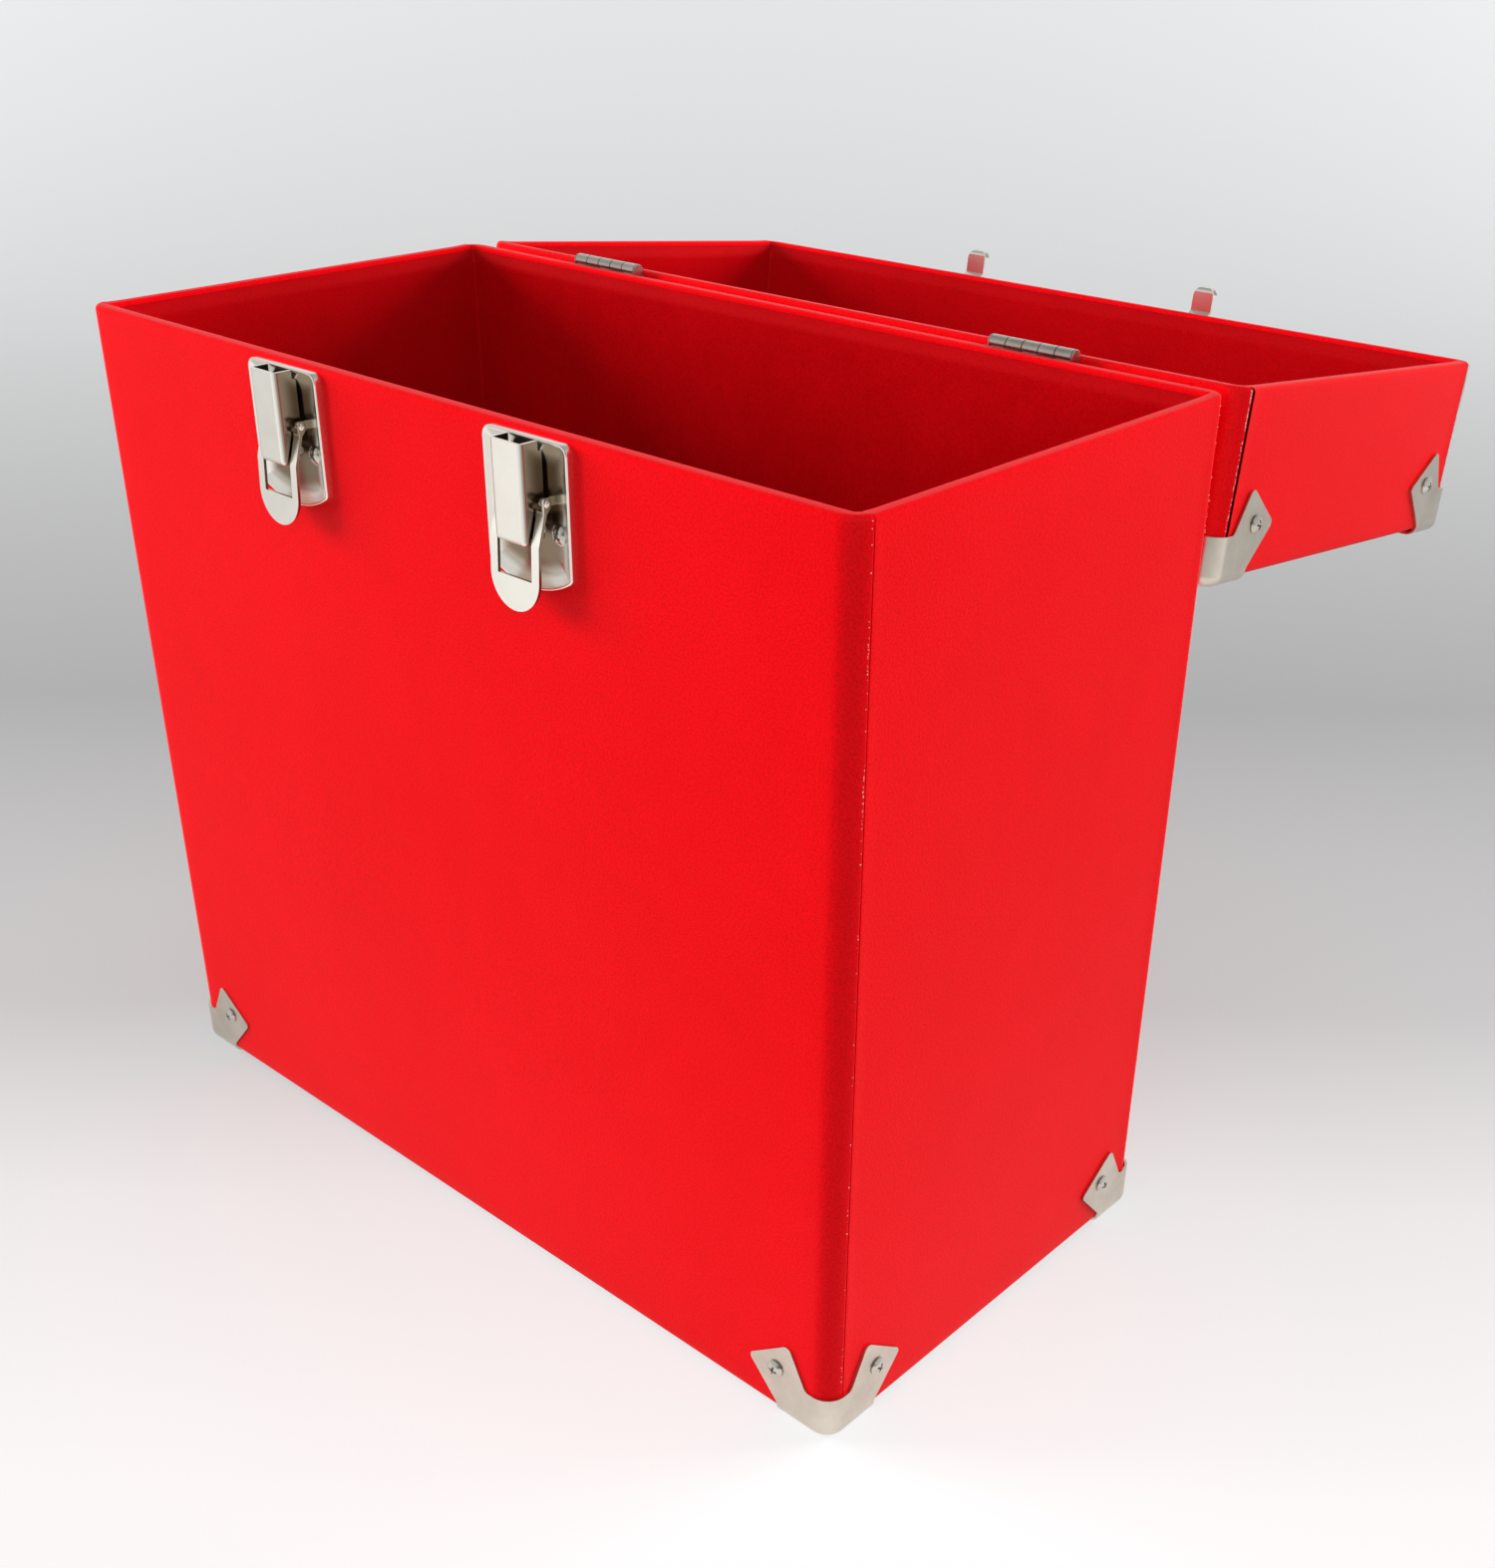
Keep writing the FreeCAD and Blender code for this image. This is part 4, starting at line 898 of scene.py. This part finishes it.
# The cutter stands proud of the head, so that it leaves no skin over the recess
def crossMesh(reach, arm, lowReach, lowArm, depth, top):
    lift = headLook["crossLift"]
    slope = (reach - lowReach) / depth
    rings = []
    for a, b, height in ((lowReach, lowArm, top - depth), (reach + slope * lift, arm, top + lift)):
        plan = ((b, b), (b, a), (-b, a), (-b, b), (-a, b), (-a, -b), (-b, -b), (-b, -a), (b, -a), (b, -b),
                (a, -b), (a, b))
        rings.append([Vector((x, y, height)) * mm for x, y in plan])
    return skinMesh("cross", rings)


def headMesh(kind):
    shape = headShapes[kind]
    radius, top, rise = shape["radius"], shape["top"], shape["top"] - shape["rim"]
    crown = (radius ** 2 + rise ** 2) / (2 * rise)
    profile = [(crown * sin(turn), top - crown * (1 - cos(turn)))
               for turn in stepsTo(asin(radius / crown), headLook["crownSteps"])]
    mesh = latheMesh(kind, profile + shape["below"] + [(0, shape["below"][-1][1])])
    if "cross" in shape:
        cutter = newObject("cutter", crossMesh(*shape["cross"], top))
        cut = {"operation": "DIFFERENCE", "solver": "EXACT", "object": cutter}
        mesh = bakedMesh(mesh, kind, [("BOOLEAN", cut)])
        bpy.data.objects.remove(cutter)
    return creased(mesh, headLook["creaseDegrees"])


# Where fasteners sit, in millimetres on the closed case, each with the way that it faces
outFront, outBack, outTop, outBottom = (0, -1, 0), (0, 1, 0), (0, 0, 1), (0, 0, -1)


def sideSeats(height):
    seats = [((x * 153, y * 87.5, height), (0, y, 0)) for x in bothSides for y in bothSides]
    return seats + [((x * 176, y * 64.5, height), (x, 0, 0)) for x in bothSides for y in bothSides]


def flatSeats(x, y, height, facing):
    return [((signX * x, signY * y, height), facing) for signX in bothSides for signY in bothSides]


# Two seats at a spread either side of each of two mirrored places
def pairSeats(x, spread, y, height, facing):
    return [((side * x + way * spread, y, height), facing) for side in bothSides for way in bothSides]


fasteners = [
    ("case_corner_side_screws", "case_corner_screws", "pan", sideSeats(19)),
    ("case_corner_base_screws", "case_corner_screws", "sunk", flatSeats(154, 65.5, 0, outBottom)),
    ("lid_corner_side_screws", "lid_corner_screws", "pan", sideSeats(345.4)),
    ("lid_corner_top_screws", "lid_corner_screws", "sunk", flatSeats(154, 65.5, 364.4, outTop)),
    ("latch_plate_pan_screws", "latch_plate_screws", "pan", pairSeats(57, 11.5, -87.5, 274.6, outFront)),
    ("lid_hook_flat_screws", "lid_hook_screws", "leaf", pairSeats(57, 3.6, -87.5, 314.5, outFront)),
    ("hinge_case_leaf_screws", "hinge_case_screws", "leaf", pairSeats(100, 10, 87.5, 286.7, outBack)),
    ("hinge_lid_leaf_screws", "hinge_lid_screws", "leaf", pairSeats(100, 10, 87.5, 317.7, outBack)),
    ("handle_bracket_pan_screws", "handle_bracket_screws", "pan", flatSeats(56, 11, 363.4, outTop)),
    ("lever_rivet_heads", "lever_rivets", "smallRivet",
     [((x * 57 + side * reach, -90.7, 284), (side * way, 0, 0))
      for x in bothSides for side in bothSides for reach, way in ((10.4, 1), (8.25, -1))]),
    ("handle_rivet_heads", "handle_rivets", "largeRivet",
     [((x * reach, 0, 371.4), (x * way, 0, 0)) for x in bothSides
      for reach, way in ((56.85, 1), (53.3, -1))]),
]
for seed, (pieceName, nodeName, kind, seats) in enumerate(fasteners):
    body, slotName = nodes[nodeName]["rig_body"], slotOf[nodeName]
    moved = openLid if body == "lid" else Matrix()
    placed = [(moved @ (Vector(place) * mm), moved.to_3x3() @ Vector(facing)) for place, facing in seats]
    inputs = {"Finish": slotLooks[slotName], "Seed": seed}
    mesh = grownMesh(seatMesh(placed), seatTree, headMesh(kind), inputs, pieceName)
    addPiece(pieceName, mesh, body, slotName, [nodeName])
print("screws and rivets seated")


# Handle grip: leather sewn over a filled core, with a flat stitched flange on either side
gripShape = {
    "halfSpan": 54.15 * mm,
    "pivotRise": 9 * mm,
    "top": 39 * mm,
    "bend": 14 * mm,
    "foot": 19 * mm,
    "halfWidth": 8.5 * mm,
    "flangeFrom": 6.6 * mm,
    "flangeHalf": 0.9 * mm,
    "flangeRound": (0.3, 0.5),
    "coreHalf": 6.4 * mm,
    "coreFullness": 0.62,
    "coreSteps": 12,
    "pinchRun": 7 * mm,
    "pinchTo": 0.42,
    "rippleHeight": 0.3 * mm,
    "rippleLength": 4.2 * mm,
    "step": 1.3 * mm,
    "fill": 0.9,
}
stitchShape = {
    "line": 7.6 * mm,
    "pitch": 3.2 * mm,
    "halfLengthMm": 1.15,
    "radiusMm": 0.28,
    "ends": [(0, 1), (0.75, 0.85), (1, 0.4)],
    "segments": 8,
}


# Run, place, outward way and bend share along the grip's line, which is an arch over the lid
def gripLine():
    shape = gripShape
    bend, span = shape["bend"], shape["halfSpan"]
    leg = shape["top"] - bend - shape["foot"]
    arc = pi / 2 * bend
    length = 2 * (leg + arc + span - bend)
    spots = []
    for run in spaced(0, length, shape["step"]):
        side = -1 if run > length / 2 else 1
        way = length - run if side < 0 else run
        turn = clamped((way - leg) / arc) * pi / 2
        x = -span + bend - bend * cos(turn) + max(0.0, way - leg - arc)
        z = shape["foot"] + min(way, leg) + bend * sin(turn)
        spots.append((run, Vector((x * side, 0, z)), Vector((-cos(turn) * side, 0, sin(turn))),
                      sin(2 * turn)))
    return spots


# The handle is drawn upright over the closed lid, and hangs plumb under the turned one
gripRise = Matrix.Translation((0, 0, gripShape["pivotRise"]))
gripPlace = (openLid @ Matrix.Translation((0, 0, lidTop)) @ gripRise
             @ Matrix.Rotation(lidAngle - pi, 4, "X") @ gripRise.inverted())


def gripSection():
    shape = gripShape
    half, start, flange = shape["halfWidth"], shape["flangeFrom"], shape["flangeHalf"]
    roundIn, roundOut = shape["flangeRound"]
    edge = [(-half, flange * roundOut), (-half + flange * roundIn, flange), (-start, flange)]
    upper = list(edge)
    for turn in stepsTo(pi, shape["coreSteps"])[1:-1]:
        dome = sin(turn) ** (2 * shape["coreFullness"])
        upper.append((-start * cos(turn), flange + (shape["coreHalf"] - flange) * dome))
    upper += [(-y, out) for y, out in reversed(edge)]
    return upper + [(y, -out) for y, out in reversed(upper)]


def makeGrip():
    shape = gripShape
    spots, section = gripLine(), gripSection()
    rings = []
    for run, place, way, bent in spots:
        near = clamped(min(run, spots[-1][0] - run) / shape["pinchRun"])
        pinch = shape["pinchTo"] + (1 - shape["pinchTo"]) * sqrt(1 - (1 - near) ** 2)
        ripple = shape["rippleHeight"] * bent * cos(tau * run / shape["rippleLength"])
        ring = []
        for y, out in section:
            fold = ripple if out < 0 and abs(y) < shape["flangeFrom"] else 0.0
            thick = copysign(max(abs(out) * pinch, min(abs(out), shape["flangeHalf"])), out)
            ring.append(gripPlace @ (place + Vector((0, y, 0)) + way * (thick + fold)))
        rings.append(ring)
    name = "handle_grip_padded"
    mesh = bakedMesh(skinMesh("grip", rings), name, [("SUBSURF", {"levels": 1, "render_levels": 1})])
    mesh.shade_smooth()
    grip = addPiece(name, mesh, "handle", "grip_red", ["handle_grip"])


# Each stitch is a short rounded rod of thread that lies on the flange
def makeStitches():
    shape = stitchShape
    ends = [(share * shape["radiusMm"], part * shape["halfLengthMm"]) for share, part in shape["ends"]]
    profile = [(radius, -height) for radius, height in ends] + ends[::-1]
    stitch = latheMesh("stitch", profile, shape["segments"])
    stitch.shade_smooth()
    spots = gripLine()
    first, last = gripShape["pinchRun"] / 2, spots[-1][0] - gripShape["pinchRun"] / 2
    flange = gripShape["flangeHalf"]
    lines = [[gripPlace @ (place + Vector((0, side * shape["line"], 0)) + way * face * flange)
              for run, place, way, bent in spots if first < run < last]
             for side in bothSides for face in bothSides]
    inputs = {"Finish": threadPolyester, "Pitch": shape["pitch"], "Seed": 3}
    mesh = grownMesh(lineMesh(lines), trailTree, stitch, inputs, "handle_grip_stitches")
    addPiece("handle_grip_stitches", mesh, "handle", "grip_red", finish=threadPolyester)


makeGrip()
makeStitches()
print("grip padded and sewn")


# Photograph's camera, fitted to the box's edges
cameraSetup = {
    "place": Vector((448.936, -419.222, 438.221)) * mm,
    "yaw": -0.729,
    "pitch": -0.519,
    "roll": 0.013,
    "focalPixels": 1859.134,
    "centrePixels": (783.457, 923.256),
    "imagePixels": (1500, 1573),
    "sensorMm": 36.0,
    "reach": (0.01, 50),
}


def makeCamera():
    setup = cameraSetup
    width, height = setup["imagePixels"]
    yaw, tip, roll = [Matrix.Rotation(angle, 4, axis) for angle, axis in
                      ((-setup["yaw"], "Z"), (pi / 2 + setup["pitch"], "X"), (setup["roll"], "Z"))]
    data = bpy.data.cameras.new("photo_camera")
    data.sensor_width = setup["sensorMm"]
    data.lens = setup["focalPixels"] / height * setup["sensorMm"]
    data.shift_x = (width / 2 - setup["centrePixels"][0]) / height
    data.shift_y = (setup["centrePixels"][1] - height / 2) / height
    data.clip_start, data.clip_end = setup["reach"]
    camera = newObject("photo_camera", data)
    camera.matrix_world = Matrix.Translation(setup["place"]) @ yaw @ tip @ roll
    bpy.context.scene.camera = camera


makeCamera()


# One where the camera, a reflection or glass looks, and nought where light is gathered
def lookedAt(add):
    light = add("ShaderNodeLightPath").outputs
    seen = light["Is Camera Ray"]
    for kind in ("Is Glossy Ray", "Is Transmission Ray"):
        seen = add("ShaderNodeMath", {0: seen, 1: light[kind]}, operation="MAXIMUM")
    return seen


# Pale sweep: floor and backdrop in one curved sheet; its tones, darker in a middle band, paint the fall of
# light by distance along the view
stageSetup = {
    "width": 14.0,
    "near": -7.0,
    "far": 2.6,
    "bend": 1.2,
    "height": 4.0,
    "bendSteps": 12,
    "stops": [-0.8, -0.2, -0.06, 0.08, 0.42, 1.2, 2.6],
    "tones": ["#989898", "#989898", "#8A8A8A", "#7C7C7D", "#686869", "#78797A", "#9C9E9F"],
    "glow": [0.48, 0.68, 0.61, 0.39, 0.27, 0.38, 0.53],
    "rough": 0.6,
    "gloss": 0.1,
}


def makeSweep():
    setup = stageSetup
    start = setup["far"] - setup["bend"]
    line = [(setup["near"], 0.0)]
    line += [(start + setup["bend"] * sin(turn), setup["bend"] * (1 - cos(turn)))
             for turn in stepsTo(pi / 2, setup["bendSteps"])]
    line.append((setup["far"], setup["height"]))
    half = setup["width"] / 2
    mesh = newMesh("sweep", [(x, y, z) for y, z in line for x in (-half, half)], (),
                   [(2 * i, 2 * i + 1, 2 * i + 3, 2 * i + 2) for i in range(len(line) - 1)])
    mesh.shade_smooth()
    mesh.transform(Matrix.Rotation(-cameraSetup["yaw"], 4, "Z"))
    material, add, place = newMaterial("sweep_paper")
    along = add("ShaderNodeMapping", {"Vector": place}, {"Rotation": (0, 0, -cameraSetup["yaw"])},
                vector_type="TEXTURE")
    split = add("ShaderNodeSeparateXYZ", {"Vector": along})
    first, last = setup["stops"][0], setup["stops"][-1]
    places = [(stop - first) / (last - first) for stop in setup["stops"]]
    depth = add("ShaderNodeMapRange", {"Value": split.outputs["Y"]}, spans((first, last)))
    tone = add("ShaderNodeValToRGB", {"Fac": depth})
    setStops(tone.color_ramp, places, setup["tones"])
    # Paper glows brighter to the eye than it lights the case, so the red stays clean; the glow also paints
    # the fall of light along the view
    glow = add("ShaderNodeValToRGB", {"Fac": depth})
    setStops(glow.color_ramp, places, [(level, level, level, 1) for level in setup["glow"]])
    endMaterial(add, {"Roughness": setup["rough"], "Specular IOR Level": setup["gloss"]},
                {"Base Color": tone, "Emission Color": glow, "Emission Strength": lookedAt(add)})
    mesh.materials.append(material)
    newObject("sweep", mesh)


makeSweep()


# Two low softboxes stand either side of the corner that faces the camera, and weak ones fill from behind
# the camera and overhead. The metal shows the pale studio, not the lamps
lampAim = Vector((0, 0, 0.17))
lamps = [
    ("softbox_left", Vector((-2.64, -1.40, 0.95)), (1.8, 1.4), 118),
    ("softbox_right", Vector((1.40, 2.64, 0.95)), (1.8, 1.4), 112),
    ("softbox_near", Vector((1.25, -1.35, 1.00)), (2.6, 1.8), 19),
    ("softbox_overhead", Vector((0.1, -0.2, 2.0)), (1.6, 1.6), 4),
]
for name, place, size, watts in lamps:
    data = bpy.data.lights.new(name, "AREA")
    data.shape = "RECTANGLE"
    data.size, data.size_y = size
    data.energy = watts
    lamp = newObject(name, data)
    lamp.location = place
    lamp.visible_glossy = False
    lamp.rotation_euler = (lampAim - place).to_track_quat("-Z", "Y").to_euler()


# Pale walls round the stage, a dimmer ceiling and an unlit end behind the camera
worldSetup = {
    "pale": "#F2F4F5",
    "dim": "#8E8E90",
    "strengths": (0.42, 0.8),
    "dimWay": Vector((0.66, -0.74, 0.12)).normalized(),
    "dimEdge": (0.66, 0.94),
    "heightEdge": (0.3, 0.9),
    "heightDim": 0.8,
}


def makeWorld():
    setup = worldSetup
    world = bpy.data.worlds.new("studio")
    world.use_nodes = True
    add = partial(addNode, world.node_tree)
    way = add("ShaderNodeTexCoord").outputs["Generated"]
    facing = add("ShaderNodeVectorMath", {0: way}, {1: setup["dimWay"]}, operation="DOT_PRODUCT")
    near = add("ShaderNodeMapRange", {"Value": facing}, spans(setup["dimEdge"]),
               interpolation_type="SMOOTHSTEP")
    split = add("ShaderNodeSeparateXYZ", {"Vector": way})
    above = add("ShaderNodeMapRange", {"Value": split.outputs["Z"]},
                spans(setup["heightEdge"], (0.0, setup["heightDim"])))
    most = add("ShaderNodeMath", {0: near, 1: above}, operation="MAXIMUM")
    tone = add("ShaderNodeValToRGB", {"Fac": most})
    setStops(tone.color_ramp, (0.0, 1.0), (setup["pale"], setup["dim"]))
    # Its colour shows brighter to the eye and in the metal than it lights the case
    level = add("ShaderNodeMapRange", {"Value": lookedAt(add)}, spans((0.0, 1.0), setup["strengths"]))
    join(world.node_tree, world.node_tree.nodes["Background"], {"Color": tone, "Strength": level})
    bpy.context.scene.world = world


makeWorld()
bpy.context.scene.view_settings.view_transform = "Standard"
print("camera, stage and lamps made")
